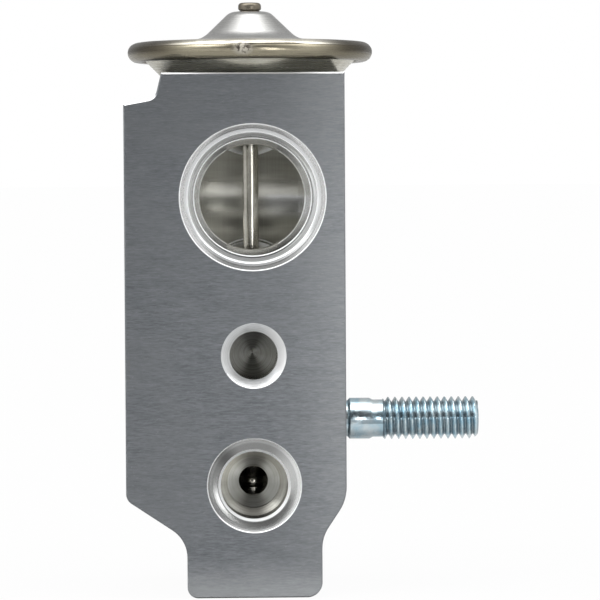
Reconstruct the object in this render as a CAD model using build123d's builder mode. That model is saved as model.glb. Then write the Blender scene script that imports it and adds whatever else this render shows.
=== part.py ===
from build123d import *
import math
import os

# Block expansion valve of a vehicle air-conditioning circuit, in millimetres.
# The origin is on the valve axis in the block's bottom face, +Z runs up the valve
# axis to the power head, and the face with the two pipe ports looks along -Y.

# Block outline, seen on the port face
block_depth = 28.0
block_height = 72.25
left_width = 17.65
right_width = 12.7
foot_half_width = 9.3
left_foot_height = 8.05
left_shoulder_height = 13.6
right_foot_height = 8.3
right_shoulder_height = 13.4
left_foot_radius = 4.5
left_shoulder_radius = 1.6
right_foot_radius = 5.2
right_shoulder_radius = 6.1
left_heel_radius = 1.5
right_heel_radius = 2.1
notch_top_inset = 5.2
notch_root_inset = 4.35
notch_root_depth = 3.5
notch_side_depth = 4.3
notch_radius = 1.5
outline_edge_break = 0.2

# Heights of the holes above the bottom face
suction_height = 55.15
fixing_height = 33.35
outlet_height = 23.5
stud_height = 23.7
inlet_height = 15.5

# Large pipe ports of the suction line
drill_point_angle = 118.0
mouth_edge_break = 0.15
suction_mouth_radius = 10.0
suction_mouth_depth = 0.5
suction_ledge = 0.55
suction_cone_depth = 1.3
suction_cone_width = 1.05
suction_cone_sag = 0.16
suction_tube_radius = 8.05
suction_tube_depth = 5.6
suction_passage_radius = 7.3
suction_passage_overrun = 6.95
suction_passage_dish = 0.4

# Small pipe ports of the liquid line
liquid_mouth_radius = 6.4
liquid_mouth_depth = 0.35
liquid_ledge = 0.2
liquid_cone_depth = 0.15
liquid_cone_width = 1.1
liquid_cone_sag = 0.03
liquid_tube_radius = 4.65
liquid_tube_edge_break = 0.34
liquid_tube_depth = 5.4
liquid_step_radius = 3.65
liquid_step_depth = 1.6
inlet_hole_radius = 2.05
outlet_passage_radius = 2.5
outlet_passage_overrun = 1.8

# Blind fixing hole for the pipe flange, tapped M8
fixing_mouth_radius = 4.5
fixing_radius = 3.325
fixing_depth = 8.5

# Stud, threaded M6 at both ends
stud_thread_radius = 3.0
stud_projection = 19.2
stud_thread_length = 13.5
stud_engagement = 6.8
stud_hole_spare = 0.5
stud_point = 0.6
stud_groove_radius = 2.55
stud_groove_width = 0.75
stud_shank_radius = 2.9
stud_shank_length = 2.75
stud_neck_radius = 2.64
thread_clearance = 0.03

# Power head
neck_radius = 9.0
neck_length = 6.1
neck_bore_radius = 6.0
neck_bore_spare = 0.3
neck_chamfer = 0.6
head_seat_radius = 12.7
flange_radius = 16.2
flange_bottom_height = 2.14
lower_flange_thickness = 1.0
diaphragm_thickness = 0.2
upper_flange_thickness = 0.9
clamp_width = 2.2
cavity_floor_height = 0.94
cavity_floor_radius = 11.6
shell_thickness = 0.8
crown_height = 8.95
crown_radius = 2.75
crown_fillet = 2.0
bell_foot_height = 5.1
bell_foot_radius = 6.75
bell_foot_fillet = 3.4
brim_step_width = 0.25
brim_height = 4.49
bead_radius = 1.4
bead_wrap = 1.0
bead_overhang = 1.04
plug_hole_radius = 1.3
plug_radius = 1.61
plug_height = 1.25
plug_edge_fillet = 0.5
plug_waist_height = 0.35
plug_clearance = 0.04
diaphragm_flat_radius = 8.6
wave_height = 0.2
pad_radius = 8.2
pad_thickness = 1.3
pad_boss_radius = 3.4
pad_boss_height = 2.6
pad_socket_depth = 2.4
head_seal_section = 0.62
seal_clearance = 0.03

# Rod, its seal and the valve train
rod_radius = 1.1
rod_clearance = 0.05
rod_tip_radius = 0.85
rod_tip_length = 5.4
passage_up_radius = 4.2
seal_pocket_radius = 3.5
seal_pocket_depth = 5.65
seal_washer_thickness = 0.5
retainer_thickness = 0.4
retainer_height = 1.4
retainer_bore_radius = 1.4
chamber_radius = 5.0
chamber_rise = 2.5
seat_pocket_radius = 3.0
seat_web = 0.8
seat_passage_radius = 1.9
orifice_radius = 1.25
seat_chamfer = 0.25
seat_nose_radius = 1.9
ball_radius = 1.6
ball_drop = 0.55
seat_gap = 0.05
contact_gap = 0.02
carrier_cup_radius = 1.8
carrier_cup_height = 1.3
carrier_flange_radius = 4.2
carrier_flange_thickness = 0.7
carrier_flange_drop = 2.05
carrier_stem_radius = 2.3
carrier_stem_length = 2.6
clip_thickness = 0.2
clip_finger_width = 1.8
clip_finger_length = 1.6
clip_wall_gap = 0.08
clip_finger_count = 3

# Spring and adjusting screw, threaded M12 x 1
screw_radius = 6.0
screw_inset = 1.2
screw_thread_length = 3.4
screw_groove_width = 1.3
screw_groove_radius = 4.85
screw_collar_length = 0.8
screw_bore_spare = 1.2
screw_mouth_chamfer = 0.5
screw_hex_width = 5.0
screw_hex_depth = 3.0
screw_seal_section = 0.55
spring_seat_radius = 4.1
spring_seat_depth = 0.25
spring_mean_radius = 3.3
spring_wire_radius = 0.4
spring_turns = 4.5
spring_end_cut = 0.25


def point_depth(wide, narrow=0.0):
    """Depth of a drilled point between two radii."""
    return (wide - narrow) / math.tan(math.radians(drill_point_angle / 2))


# Places worked out from the sizes above
front_face = -block_depth / 2
left_face = -left_width
right_face = right_width
shell_base = block_height
flange_bottom = shell_base + flange_bottom_height
diaphragm_bottom = flange_bottom + lower_flange_thickness
diaphragm_top = diaphragm_bottom + diaphragm_thickness
flange_top = diaphragm_top + upper_flange_thickness
crown_top = shell_base + crown_height
cavity_floor = shell_base + cavity_floor_height
clamp_inner_radius = flange_radius - clamp_width
bead_inner_radius = flange_radius - bead_wrap
neck_bottom = shell_base - neck_length
suction_floor = suction_height - suction_passage_radius
seal_pocket_floor = suction_floor - seal_pocket_depth
outlet_floor = outlet_height - outlet_passage_radius
seat_top = outlet_floor - seat_web
chamber_top = inlet_height + chamber_rise
ball_centre = inlet_height - ball_drop
seat_edge = ball_centre + math.sqrt(ball_radius**2 - orifice_radius**2) + seat_gap
seat_bottom = seat_edge - seat_chamfer
carrier_top = ball_centre - carrier_flange_drop
carrier_bottom = carrier_top - carrier_flange_thickness
screw_groove_bottom = screw_inset + screw_thread_length
screw_groove_top = screw_groove_bottom + screw_groove_width
screw_top = screw_groove_top + screw_collar_length
spring_bottom = screw_top - spring_seat_depth
spring_length = carrier_bottom - spring_bottom
screw_bore_top = screw_top + screw_bore_spare
rod_bottom = ball_centre + ball_radius + contact_gap
pad_bottom = diaphragm_bottom - pad_thickness
boss_bottom = pad_bottom - pad_boss_height
rod_top = boss_bottom + pad_socket_depth

# Each port's plane has its origin in the mouth, its first axis into the block and
# its second axis across the port, so a profile reads as depth and radius
suction_planes = (
    Plane(origin=(0, front_face, suction_height), x_dir=(0, 1, 0), z_dir=(1, 0, 0)),
    Plane(origin=(left_face, 0, suction_height), x_dir=(1, 0, 0), z_dir=(0, -1, 0)),
)
liquid_planes = (
    Plane(origin=(0, front_face, inlet_height), x_dir=(0, 1, 0), z_dir=(1, 0, 0)),
    Plane(origin=(left_face, 0, outlet_height), x_dir=(1, 0, 0), z_dir=(0, -1, 0)),
)
fixing_plane = Plane(
    origin=(0, front_face, fixing_height), x_dir=(0, 1, 0), z_dir=(1, 0, 0)
)
stud_plane = Plane(origin=(right_face, 0, stud_height), x_dir=(1, 0, 0), z_dir=(0, -1, 0))
stud_hole_plane = Plane(
    origin=(right_face, 0, stud_height), x_dir=(-1, 0, 0), z_dir=(0, 1, 0)
)

os.makedirs("parts", exist_ok=True)

# The neck's O-ring sits in a 45 degree chamfer round the neck's bore
head_seal_inset = head_seal_section + seal_clearance
head_seal_chamfer = head_seal_inset * (2 + math.sqrt(2))

with BuildPart() as valve_block:
    # Extruded outline, with its edges broken on both sawn faces
    with BuildSketch(Plane.XZ):
        with BuildLine():
            FilletPolyline(
                (-foot_half_width, 0),
                (foot_half_width, 0),
                (foot_half_width, right_foot_height),
                (right_width, right_shoulder_height),
                (right_width, block_height),
                (notch_top_inset - left_width, block_height),
                (notch_root_inset - left_width, block_height - notch_root_depth),
                (-left_width, block_height - notch_side_depth),
                (-left_width, left_shoulder_height),
                (-foot_half_width, left_foot_height),
                radius=(
                    left_heel_radius,
                    right_heel_radius,
                    right_foot_radius,
                    right_shoulder_radius,
                    0,
                    0,
                    notch_radius,
                    0,
                    left_shoulder_radius,
                    left_foot_radius,
                ),
                close=True,
            )
        make_face()
    extrude(amount=block_depth / 2, both=True)
    outline_edges = valve_block.edges().group_by(Axis.Y)
    chamfer(outline_edges[0] + outline_edges[-1], length=outline_edge_break)

    # Large ports: edge break, ledge, dished cone, pipe bore and shoulder
    for mouth, passage_end in zip(
        suction_planes, (block_depth / 2, left_width + suction_passage_overrun)
    ):
        cone_top = suction_mouth_radius - suction_ledge
        cone_foot = cone_top - suction_cone_width
        cone_end = suction_mouth_depth + suction_cone_depth
        with BuildSketch(mouth):
            with BuildLine():
                Polyline(
                    (0, 0),
                    (0, suction_mouth_radius + mouth_edge_break),
                    (mouth_edge_break, suction_mouth_radius),
                    (suction_mouth_depth, suction_mouth_radius),
                    (suction_mouth_depth, cone_top),
                )
                SagittaArc(
                    (suction_mouth_depth, cone_top),
                    (cone_end, cone_foot),
                    -suction_cone_sag,
                )
                Polyline(
                    (cone_end, cone_foot),
                    (cone_end, suction_tube_radius + mouth_edge_break),
                    (cone_end + mouth_edge_break, suction_tube_radius),
                    (suction_tube_depth, suction_tube_radius),
                    (suction_tube_depth, suction_passage_radius + mouth_edge_break),
                    (suction_tube_depth + mouth_edge_break, suction_passage_radius),
                    (passage_end, suction_passage_radius),
                    (passage_end + suction_passage_dish, 0),
                    (0, 0),
                )
            make_face()
        revolve(axis=Axis(mouth.origin, mouth.x_dir), mode=Mode.SUBTRACT)

    # Small ports: the same mouth in small, then a drilled step and the inner hole
    for mouth, hole_radius, hole_end in zip(
        liquid_planes,
        (inlet_hole_radius, outlet_passage_radius),
        (block_depth / 2, left_width + outlet_passage_overrun),
    ):
        cone_top = liquid_mouth_radius - liquid_ledge
        cone_foot = cone_top - liquid_cone_width
        cone_end = liquid_mouth_depth + liquid_cone_depth
        step_start = liquid_tube_depth + point_depth(liquid_tube_radius, liquid_step_radius)
        step_end = step_start + liquid_step_depth
        with BuildSketch(mouth):
            with BuildLine():
                Polyline(
                    (0, 0),
                    (0, liquid_mouth_radius + mouth_edge_break),
                    (mouth_edge_break, liquid_mouth_radius),
                    (liquid_mouth_depth, liquid_mouth_radius),
                    (liquid_mouth_depth, cone_top),
                )
                SagittaArc(
                    (liquid_mouth_depth, cone_top),
                    (cone_end, cone_foot),
                    -liquid_cone_sag,
                )
                Polyline(
                    (cone_end, cone_foot),
                    (cone_end, liquid_tube_radius + liquid_tube_edge_break),
                    (cone_end + liquid_tube_edge_break, liquid_tube_radius),
                    (liquid_tube_depth, liquid_tube_radius),
                    (step_start, liquid_step_radius),
                    (step_end, liquid_step_radius),
                    (step_end + point_depth(liquid_step_radius, hole_radius), hole_radius),
                    (hole_end, hole_radius),
                    (hole_end + point_depth(hole_radius), 0),
                    (0, 0),
                )
            make_face()
        revolve(axis=Axis(mouth.origin, mouth.x_dir), mode=Mode.SUBTRACT)

    # Blind fixing hole with its countersink and drilled point
    with BuildSketch(fixing_plane):
        with BuildLine():
            Polyline(
                (0, 0),
                (0, fixing_mouth_radius),
                (fixing_mouth_radius - fixing_radius, fixing_radius),
                (fixing_depth, fixing_radius),
                (fixing_depth + point_depth(fixing_radius), 0),
                (0, 0),
            )
        make_face()
    revolve(axis=Axis(fixing_plane.origin, fixing_plane.x_dir), mode=Mode.SUBTRACT)

    # Stud hole in the right face
    stud_hole_radius = stud_thread_radius + thread_clearance
    stud_hole_depth = stud_engagement + stud_hole_spare
    with BuildSketch(stud_hole_plane):
        with BuildLine():
            Polyline(
                (0, 0),
                (0, stud_hole_radius + mouth_edge_break),
                (mouth_edge_break, stud_hole_radius),
                (stud_hole_depth, stud_hole_radius),
                (stud_hole_depth + point_depth(stud_hole_radius), 0),
                (0, 0),
            )
        make_face()
    revolve(axis=Axis(stud_hole_plane.origin, stud_hole_plane.x_dir), mode=Mode.SUBTRACT)

    # Threaded bore for the head, and the passage from it into the suction line
    neck_bore_floor = neck_bottom - neck_bore_spare
    head_bore_radius = neck_radius + thread_clearance
    with BuildSketch(Plane.XZ):
        with BuildLine():
            Polyline(
                (0, suction_height),
                (passage_up_radius, suction_height),
                (passage_up_radius, neck_bore_floor),
                (head_bore_radius, neck_bore_floor),
                (head_bore_radius, block_height - head_seal_chamfer),
                (head_bore_radius + head_seal_chamfer, block_height),
                (0, block_height),
                (0, suction_height),
            )
        make_face()
    revolve(axis=Axis.Z, mode=Mode.SUBTRACT)

    # Rod bore with the seal's pocket under the suction passage
    with BuildSketch(Plane.XZ):
        with BuildLine():
            Polyline(
                (0, suction_height),
                (seal_pocket_radius, suction_height),
                (seal_pocket_radius, seal_pocket_floor),
                (rod_radius + rod_clearance, seal_pocket_floor),
                (rod_radius + rod_clearance, outlet_height),
                (0, outlet_height),
                (0, suction_height),
            )
        make_face()
    revolve(axis=Axis.Z, mode=Mode.SUBTRACT)

    # Bores from below: screw thread, spring chamber, seat pocket and orifice passage
    screw_bore_radius = screw_radius + thread_clearance
    with BuildSketch(Plane.XZ):
        with BuildLine():
            Polyline(
                (0, 0),
                (screw_bore_radius + screw_mouth_chamfer, 0),
                (screw_bore_radius, screw_mouth_chamfer),
                (screw_bore_radius, screw_bore_top),
                (chamber_radius, screw_bore_top + screw_bore_radius - chamber_radius),
                (chamber_radius, chamber_top),
                (seat_pocket_radius, chamber_top),
                (seat_pocket_radius, seat_top),
                (seat_passage_radius, seat_top),
                (seat_passage_radius, outlet_height),
                (0, outlet_height),
                (0, 0),
            )
        make_face()
    revolve(axis=Axis.Z, mode=Mode.SUBTRACT)

with BuildPart() as mounting_stud:
    shank_start = stud_groove_width + stud_shank_radius - stud_groove_radius
    shank_end = shank_start + stud_shank_length
    neck_start = shank_end + 2 * (stud_shank_radius - stud_neck_radius)
    thread_start = stud_projection - stud_thread_length
    thread_rise = stud_thread_radius - stud_neck_radius
    with BuildSketch(stud_plane):
        with BuildLine():
            Polyline(
                (-stud_engagement, 0),
                (-stud_engagement, stud_thread_radius - stud_point),
                (stud_point - stud_engagement, stud_thread_radius),
                (stud_groove_radius - stud_thread_radius, stud_thread_radius),
                (0, stud_groove_radius),
                (stud_groove_width, stud_groove_radius),
                (shank_start, stud_shank_radius),
                (shank_end, stud_shank_radius),
                (neck_start, stud_neck_radius),
                (thread_start, stud_neck_radius),
                (thread_start + thread_rise, stud_thread_radius),
                (stud_projection - stud_point, stud_thread_radius),
                (stud_projection, stud_thread_radius - stud_point),
                (stud_projection, 0),
                (-stud_engagement, 0),
            )
        make_face()
    revolve(axis=Axis(stud_plane.origin, stud_plane.x_dir))

with BuildPart() as lower_shell:
    cone_rise = flange_bottom - shell_base
    with BuildSketch(Plane.XZ):
        with BuildLine():
            Polyline(
                (neck_bore_radius, neck_bottom),
                (neck_radius - neck_chamfer, neck_bottom),
                (neck_radius, neck_bottom + neck_chamfer),
                (neck_radius, shell_base),
                (head_seat_radius, shell_base),
                (head_seat_radius + cone_rise, flange_bottom),
                (flange_radius, flange_bottom),
                (flange_radius, diaphragm_bottom),
                (clamp_inner_radius, diaphragm_bottom),
                (cavity_floor_radius, cavity_floor),
                (neck_bore_radius, cavity_floor),
                (neck_bore_radius, neck_bottom),
            )
        make_face()
    revolve(axis=Axis.Z)

with BuildPart() as upper_shell:
    # Pressed bell: flat crown, 45 degree flank and a shallow brim out to the clamp
    flank_slope = (bell_foot_radius - crown_radius) / (crown_height - bell_foot_height)
    inner_foot_height = shell_base + bell_foot_height - shell_thickness
    inner_crown_height = crown_top - shell_thickness
    flank_shift = shell_thickness * math.sqrt(1 + flank_slope**2)
    inner_foot_radius = bell_foot_radius - flank_shift + shell_thickness * flank_slope
    inner_crown_radius = crown_radius - flank_shift + shell_thickness * flank_slope
    with BuildSketch(Plane.XZ):
        with BuildLine():
            FilletPolyline(
                (plug_hole_radius, crown_top),
                (crown_radius, crown_top),
                (bell_foot_radius, shell_base + bell_foot_height),
                (bead_inner_radius - brim_step_width, shell_base + brim_height),
                (bead_inner_radius, flange_top),
                (flange_radius, flange_top),
                (flange_radius, diaphragm_top),
                (clamp_inner_radius, diaphragm_top),
                (clamp_inner_radius - wave_height, diaphragm_top + 2 * wave_height),
                (inner_foot_radius, inner_foot_height),
                (inner_crown_radius, inner_crown_height),
                (plug_hole_radius, inner_crown_height),
                radius=(
                    0,
                    crown_fillet,
                    bell_foot_fillet,
                    0,
                    0,
                    0,
                    0,
                    0,
                    0,
                    bell_foot_fillet,
                    0,
                    0,
                ),
                close=True,
            )
        make_face()
    revolve(axis=Axis.Z)

with BuildPart() as rim_weld:
    # Rounded bead that wraps both flanges' edges
    bead_middle = (flange_bottom + flange_top) / 2
    bead_centre_radius = flange_radius + bead_overhang - bead_radius
    with BuildSketch(Plane.XZ):
        with Locations((bead_centre_radius, bead_middle)):
            Circle(bead_radius)
        with Locations((bead_inner_radius, bead_middle)):
            Rectangle(
                2 * bead_radius,
                3 * bead_radius,
                align=(Align.MAX, Align.CENTER),
                mode=Mode.SUBTRACT,
            )
        with Locations((flange_radius + seal_clearance, bead_middle)):
            Rectangle(
                3 * bead_radius,
                flange_top - flange_bottom,
                align=(Align.MAX, Align.CENTER),
                mode=Mode.SUBTRACT,
            )
    revolve(axis=Axis.Z)

with BuildPart() as charge_plug:
    stem_radius = plug_hole_radius - plug_clearance
    with BuildSketch(Plane.XZ):
        with BuildLine():
            FilletPolyline(
                (0, crown_top - shell_thickness),
                (stem_radius, crown_top - shell_thickness),
                (stem_radius, crown_top),
                (plug_radius, crown_top + plug_waist_height),
                (plug_radius, crown_top + plug_height),
                (0, crown_top + plug_height),
                radius=(0, 0, 0, 0, plug_edge_fillet, 0),
                close=True,
            )
        make_face()
    revolve(axis=Axis.Z)

with BuildPart() as diaphragm:
    # One wave up and one down between the flat centre and the clamped edge
    quarter_wave = (clamp_inner_radius - diaphragm_flat_radius) / 4
    with BuildSketch(Plane.XZ):
        with BuildLine():
            for level in (diaphragm_bottom, diaphragm_top):
                ThreePointArc(
                    (diaphragm_flat_radius, level),
                    (diaphragm_flat_radius + quarter_wave, level + wave_height),
                    (diaphragm_flat_radius + 2 * quarter_wave, level),
                )
                ThreePointArc(
                    (diaphragm_flat_radius + 2 * quarter_wave, level),
                    (diaphragm_flat_radius + 3 * quarter_wave, level - wave_height),
                    (clamp_inner_radius, level),
                )
                Line((0, level), (diaphragm_flat_radius, level))
                Line((clamp_inner_radius, level), (flange_radius, level))
            for radius in (0, flange_radius):
                Line((radius, diaphragm_bottom), (radius, diaphragm_top))
        make_face()
    revolve(axis=Axis.Z)

with BuildPart() as thrust_pad:
    with Locations((0, 0, diaphragm_bottom)):
        Cylinder(pad_radius, pad_thickness, align=(Align.CENTER, Align.CENTER, Align.MAX))
    fillet(thrust_pad.edges().group_by(Axis.Z)[0], radius=pad_thickness / 3)
    with Locations((0, 0, pad_bottom)):
        Cylinder(
            pad_boss_radius, pad_boss_height, align=(Align.CENTER, Align.CENTER, Align.MAX)
        )
    with Locations(Plane(origin=(0, 0, boss_bottom), z_dir=(0, 0, -1))):
        Hole(rod_radius + rod_clearance, depth=pad_socket_depth)

with BuildPart() as head_seal:
    with BuildSketch(Plane.XZ):
        with Locations((neck_radius + head_seal_inset, shell_base - head_seal_inset)):
            Circle(head_seal_section)
    revolve(axis=Axis.Z)

with BuildPart() as actuating_rod:
    with BuildSketch(Plane.XY.offset(rod_bottom)):
        Circle(rod_tip_radius)
    extrude(amount=rod_tip_length)
    with BuildSketch(Plane.XY.offset(rod_bottom + rod_tip_length)):
        Circle(rod_radius)
    extrude(amount=rod_top - rod_bottom - rod_tip_length)
    rod_edges = actuating_rod.edges().filter_by(GeomType.CIRCLE).group_by(Axis.Z)
    chamfer(rod_edges[-1], length=rod_radius - rod_tip_radius)

with BuildPart() as seal_washer:
    with BuildSketch(Plane.XY.offset(seal_pocket_floor)):
        Circle(seal_pocket_radius - seal_clearance)
        Circle(rod_radius + rod_clearance, mode=Mode.SUBTRACT)
    extrude(amount=seal_washer_thickness)

# The rod's O-ring fills the pocket between the rod and the pocket's wall
rod_seal_inner = rod_radius + rod_clearance
rod_seal_outer = seal_pocket_radius - seal_clearance
rod_seal_section = (rod_seal_outer - rod_seal_inner) / 2
rod_seal_bottom = seal_pocket_floor + seal_washer_thickness + contact_gap
retainer_bottom = rod_seal_bottom + 2 * rod_seal_section + contact_gap

with BuildPart() as rod_seal:
    with BuildSketch(Plane.XZ):
        with Locations((rod_seal_inner + rod_seal_section, rod_seal_bottom + rod_seal_section)):
            Circle(rod_seal_section)
    revolve(axis=Axis.Z)

with BuildPart() as seal_retainer:
    # Pressed cup: a pierced floor on the O-ring and a wall that grips the pocket
    with BuildSketch(Plane.XY.offset(retainer_bottom)):
        Circle(seal_pocket_radius - seal_clearance)
        Circle(retainer_bore_radius, mode=Mode.SUBTRACT)
    extrude(amount=retainer_height)
    with BuildSketch(Plane.XY.offset(retainer_bottom + retainer_thickness)):
        Circle(seal_pocket_radius - seal_clearance - retainer_thickness)
    extrude(amount=retainer_height, mode=Mode.SUBTRACT)

with BuildPart() as seat_insert:
    # Pressed-in ring with a tapered nose round the valve's orifice
    insert_radius = seat_pocket_radius - seal_clearance
    with BuildSketch(Plane.XZ):
        with BuildLine():
            Polyline(
                (orifice_radius, seat_top),
                (insert_radius, seat_top),
                (insert_radius, chamber_top),
                (seat_nose_radius, seat_bottom),
                (orifice_radius + seat_chamfer, seat_bottom),
                (orifice_radius, seat_edge),
                (orifice_radius, seat_top),
            )
        make_face()
    revolve(axis=Axis.Z)

with BuildPart() as ball:
    with Locations((0, 0, ball_centre)):
        Sphere(ball_radius)

with BuildPart() as ball_carrier:
    # Flange with a cup for the ball above it and a guide for the spring below it
    cup_top = carrier_top + carrier_cup_height
    cup_vertex = ball_centre - math.sqrt(2) * ball_radius - contact_gap
    with BuildSketch(Plane.XZ):
        with BuildLine():
            Polyline(
                (0, carrier_bottom - carrier_stem_length),
                (carrier_stem_radius - clip_thickness, carrier_bottom - carrier_stem_length),
                (carrier_stem_radius, carrier_bottom - carrier_stem_length + clip_thickness),
                (carrier_stem_radius, carrier_bottom),
                (carrier_flange_radius, carrier_bottom),
                (carrier_flange_radius, carrier_top),
                (carrier_cup_radius, carrier_top),
                (carrier_cup_radius, cup_top),
                (cup_top - cup_vertex, cup_top),
                (0, cup_vertex),
                (0, carrier_bottom - carrier_stem_length),
            )
        make_face()
    revolve(axis=Axis.Z)

with BuildPart() as damping_clip:
    # Spring crown: a ring on the carrier with fingers bent down along the chamber
    finger_outer = chamber_radius - clip_wall_gap
    with BuildSketch(Plane.XY.offset(carrier_top)):
        Circle(carrier_flange_radius)
        with PolarLocations(carrier_flange_radius, clip_finger_count):
            Rectangle(2 * (finger_outer - carrier_flange_radius), clip_finger_width)
        Circle(finger_outer, mode=Mode.INTERSECT)
        Circle(carrier_cup_radius + contact_gap, mode=Mode.SUBTRACT)
    extrude(amount=clip_thickness)
    with BuildSketch(Plane.XY.offset(carrier_top)):
        with PolarLocations(finger_outer, clip_finger_count):
            Rectangle(2 * clip_thickness, clip_finger_width)
        Circle(finger_outer, mode=Mode.INTERSECT)
        Circle(finger_outer - clip_thickness, mode=Mode.SUBTRACT)
    extrude(amount=-clip_finger_length)

with BuildPart() as spring:
    # Coil with its two ends ground flat
    coil_bottom = spring_bottom + spring_end_cut
    coil_height = spring_length - 2 * spring_end_cut
    with BuildLine(Plane.XY.offset(coil_bottom)) as coil:
        Helix(coil_height / spring_turns, coil_height, spring_mean_radius)
    with BuildSketch(Plane(origin=coil.line @ 0, z_dir=coil.line % 0)):
        Circle(spring_wire_radius)
    sweep()
    split(bisect_by=Plane.XY.offset(spring_bottom), keep=Keep.TOP)
    split(bisect_by=Plane.XY.offset(carrier_bottom), keep=Keep.BOTTOM)

with BuildPart() as adjusting_screw:
    with BuildSketch(Plane.XZ):
        with BuildLine():
            Polyline(
                (0, screw_inset),
                (screw_radius - screw_mouth_chamfer, screw_inset),
                (screw_radius, screw_inset + screw_mouth_chamfer),
                (screw_radius, screw_groove_bottom),
                (screw_groove_radius, screw_groove_bottom),
                (screw_groove_radius, screw_groove_top),
                (screw_radius, screw_groove_top),
                (screw_radius, screw_top),
                (spring_seat_radius, screw_top),
                (spring_seat_radius, spring_bottom),
                (0, spring_bottom),
                (0, screw_inset),
            )
        make_face()
    revolve(axis=Axis.Z)
    with BuildSketch(Plane.XY.offset(screw_inset)):
        RegularPolygon(screw_hex_width / 2, 6, major_radius=False)
    extrude(amount=screw_hex_depth, mode=Mode.SUBTRACT)

with BuildPart() as screw_seal:
    with BuildSketch(Plane.XZ):
        with Locations(
            (
                screw_groove_radius + seal_clearance + screw_seal_section,
                (screw_groove_bottom + screw_groove_top) / 2,
            )
        ):
            Circle(screw_seal_section)
    revolve(axis=Axis.Z)

pieces = {
    "valve_block": valve_block,
    "mounting_stud": mounting_stud,
    "lower_shell": lower_shell,
    "upper_shell": upper_shell,
    "rim_weld": rim_weld,
    "charge_plug": charge_plug,
    "diaphragm": diaphragm,
    "thrust_pad": thrust_pad,
    "head_seal": head_seal,
    "actuating_rod": actuating_rod,
    "seal_washer": seal_washer,
    "rod_seal": rod_seal,
    "seal_retainer": seal_retainer,
    "seat_insert": seat_insert,
    "ball": ball,
    "ball_carrier": ball_carrier,
    "damping_clip": damping_clip,
    "spring": spring,
    "adjusting_screw": adjusting_screw,
    "screw_seal": screw_seal,
}
for piece_name, piece in pieces.items():
    piece.part.label = piece_name
    export_step(piece.part, f"parts/{piece_name}.step")
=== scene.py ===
import math

import bmesh
import bpy
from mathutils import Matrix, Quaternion, Vector


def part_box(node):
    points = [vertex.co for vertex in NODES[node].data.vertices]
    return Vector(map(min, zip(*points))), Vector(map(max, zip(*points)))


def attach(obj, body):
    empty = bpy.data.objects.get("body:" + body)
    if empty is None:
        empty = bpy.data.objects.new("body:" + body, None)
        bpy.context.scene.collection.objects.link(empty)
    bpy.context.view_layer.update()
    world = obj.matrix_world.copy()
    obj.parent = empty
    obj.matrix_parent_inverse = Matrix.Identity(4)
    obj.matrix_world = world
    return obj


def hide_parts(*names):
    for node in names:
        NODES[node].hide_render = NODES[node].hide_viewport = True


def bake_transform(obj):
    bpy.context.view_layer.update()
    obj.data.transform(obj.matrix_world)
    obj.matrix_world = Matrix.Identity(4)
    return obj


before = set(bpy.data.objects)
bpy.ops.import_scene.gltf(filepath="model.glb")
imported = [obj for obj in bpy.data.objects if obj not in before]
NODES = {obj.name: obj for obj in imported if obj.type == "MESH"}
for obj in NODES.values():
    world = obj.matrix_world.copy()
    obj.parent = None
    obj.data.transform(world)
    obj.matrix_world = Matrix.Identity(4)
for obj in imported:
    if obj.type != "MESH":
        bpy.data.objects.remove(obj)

bl_info = {
    "name": "Block Expansion Valve",
    "version": (1, 0, 0),
    "blender": (4, 5, 0),
    "location": "View3D > Sidebar > Expansion Valve",
    "description": "Metals, threads, weld bead and studio around a packed block expansion valve",
    "category": "Add Mesh",
}

MM = 0.001
CIRCLE = 2 * math.pi
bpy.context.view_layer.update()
BLOCK_LOW, BLOCK_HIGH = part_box("valve_block")
STUD_LOW, STUD_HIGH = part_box("mounting_stud")
WELD_LOW, WELD_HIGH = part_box("rim_weld")
SPRING_LOW, SPRING_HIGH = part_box("spring")
FRONT_FACE = BLOCK_LOW.y
LEFT_FACE = BLOCK_LOW.x
RIGHT_FACE = BLOCK_HIGH.x
STUD_HEIGHT = (STUD_LOW.z + STUD_HIGH.z) / 2

# Heights of the port axes above the foot, and the radius that each port's turned marks reach
SUCTION_HEIGHT = 55.15 * MM
FIXING_HEIGHT = 33.35 * MM
OUTLET_HEIGHT = 23.5 * MM
INLET_HEIGHT = 15.5 * MM
SUCTION_REACH = 10.16 * MM
LIQUID_REACH = 6.56 * MM
FIXING_REACH = 4.52 * MM

# Radii of the tapped wall, of the suction cone's outer edge, of the upright holes that cross
# the suction passage, and of the passage's wall, over which their burnished edges with painted
# highlight fade
TAPPED_RADIUS = 3.325 * MM
CONE_EDGE = 9.35 * MM
UPPER_HOLE = 4.2 * MM
ROD_HOLE = 3.5 * MM
PASSAGE_WALL = (7.4 * MM, 7.9 * MM)

# Heights between which the weld's dark foot ends, its tint turns to straw and its painted side
# shade deepens
WELD_FOOT = (74.1 * MM, 74.45 * MM)
WELD_STRAW = (75.1 * MM, 75.35 * MM)
WELD_SIDE_SHADE = (74.9 * MM, 75.5 * MM)

# How deep the sawn faces and the outline's broken edges reach, and how wide the zones are that
# get painted highlight along the crossing holes and painted shade along the suction cones
SAWN_DEPTH = 0.05 * MM
EDGE_DEPTH = 0.22 * MM
CROSSING_HIGHLIGHT_WIDTH = 0.16 * MM
CONE_EDGE_SHADE_WIDTH = 0.2 * MM

# Where the face gets painted light: heights above its foot, and places along X on its right
PAINTED_LIGHT_FOOT = (-1.0 * MM, 6.5 * MM)
PAINTED_LIGHT_RIGHT = (2.0 * MM, 14.0 * MM)

# Cosines between a normal and its bore's axis: from a wall to a cone, from there to a floor,
# on a floor, and on a chamfer
WALL_TO_CONE = (0.15, 0.35)
CONE_TO_FLOOR = (0.93, 0.985)
FLOOR = (0.985, 0.999)
CHAMFER = math.sqrt(0.5)

# Cosines or sines of the angle in a bore, over which one of its four sides comes in
SIDE_EDGE = (0.35, 0.85)
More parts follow.
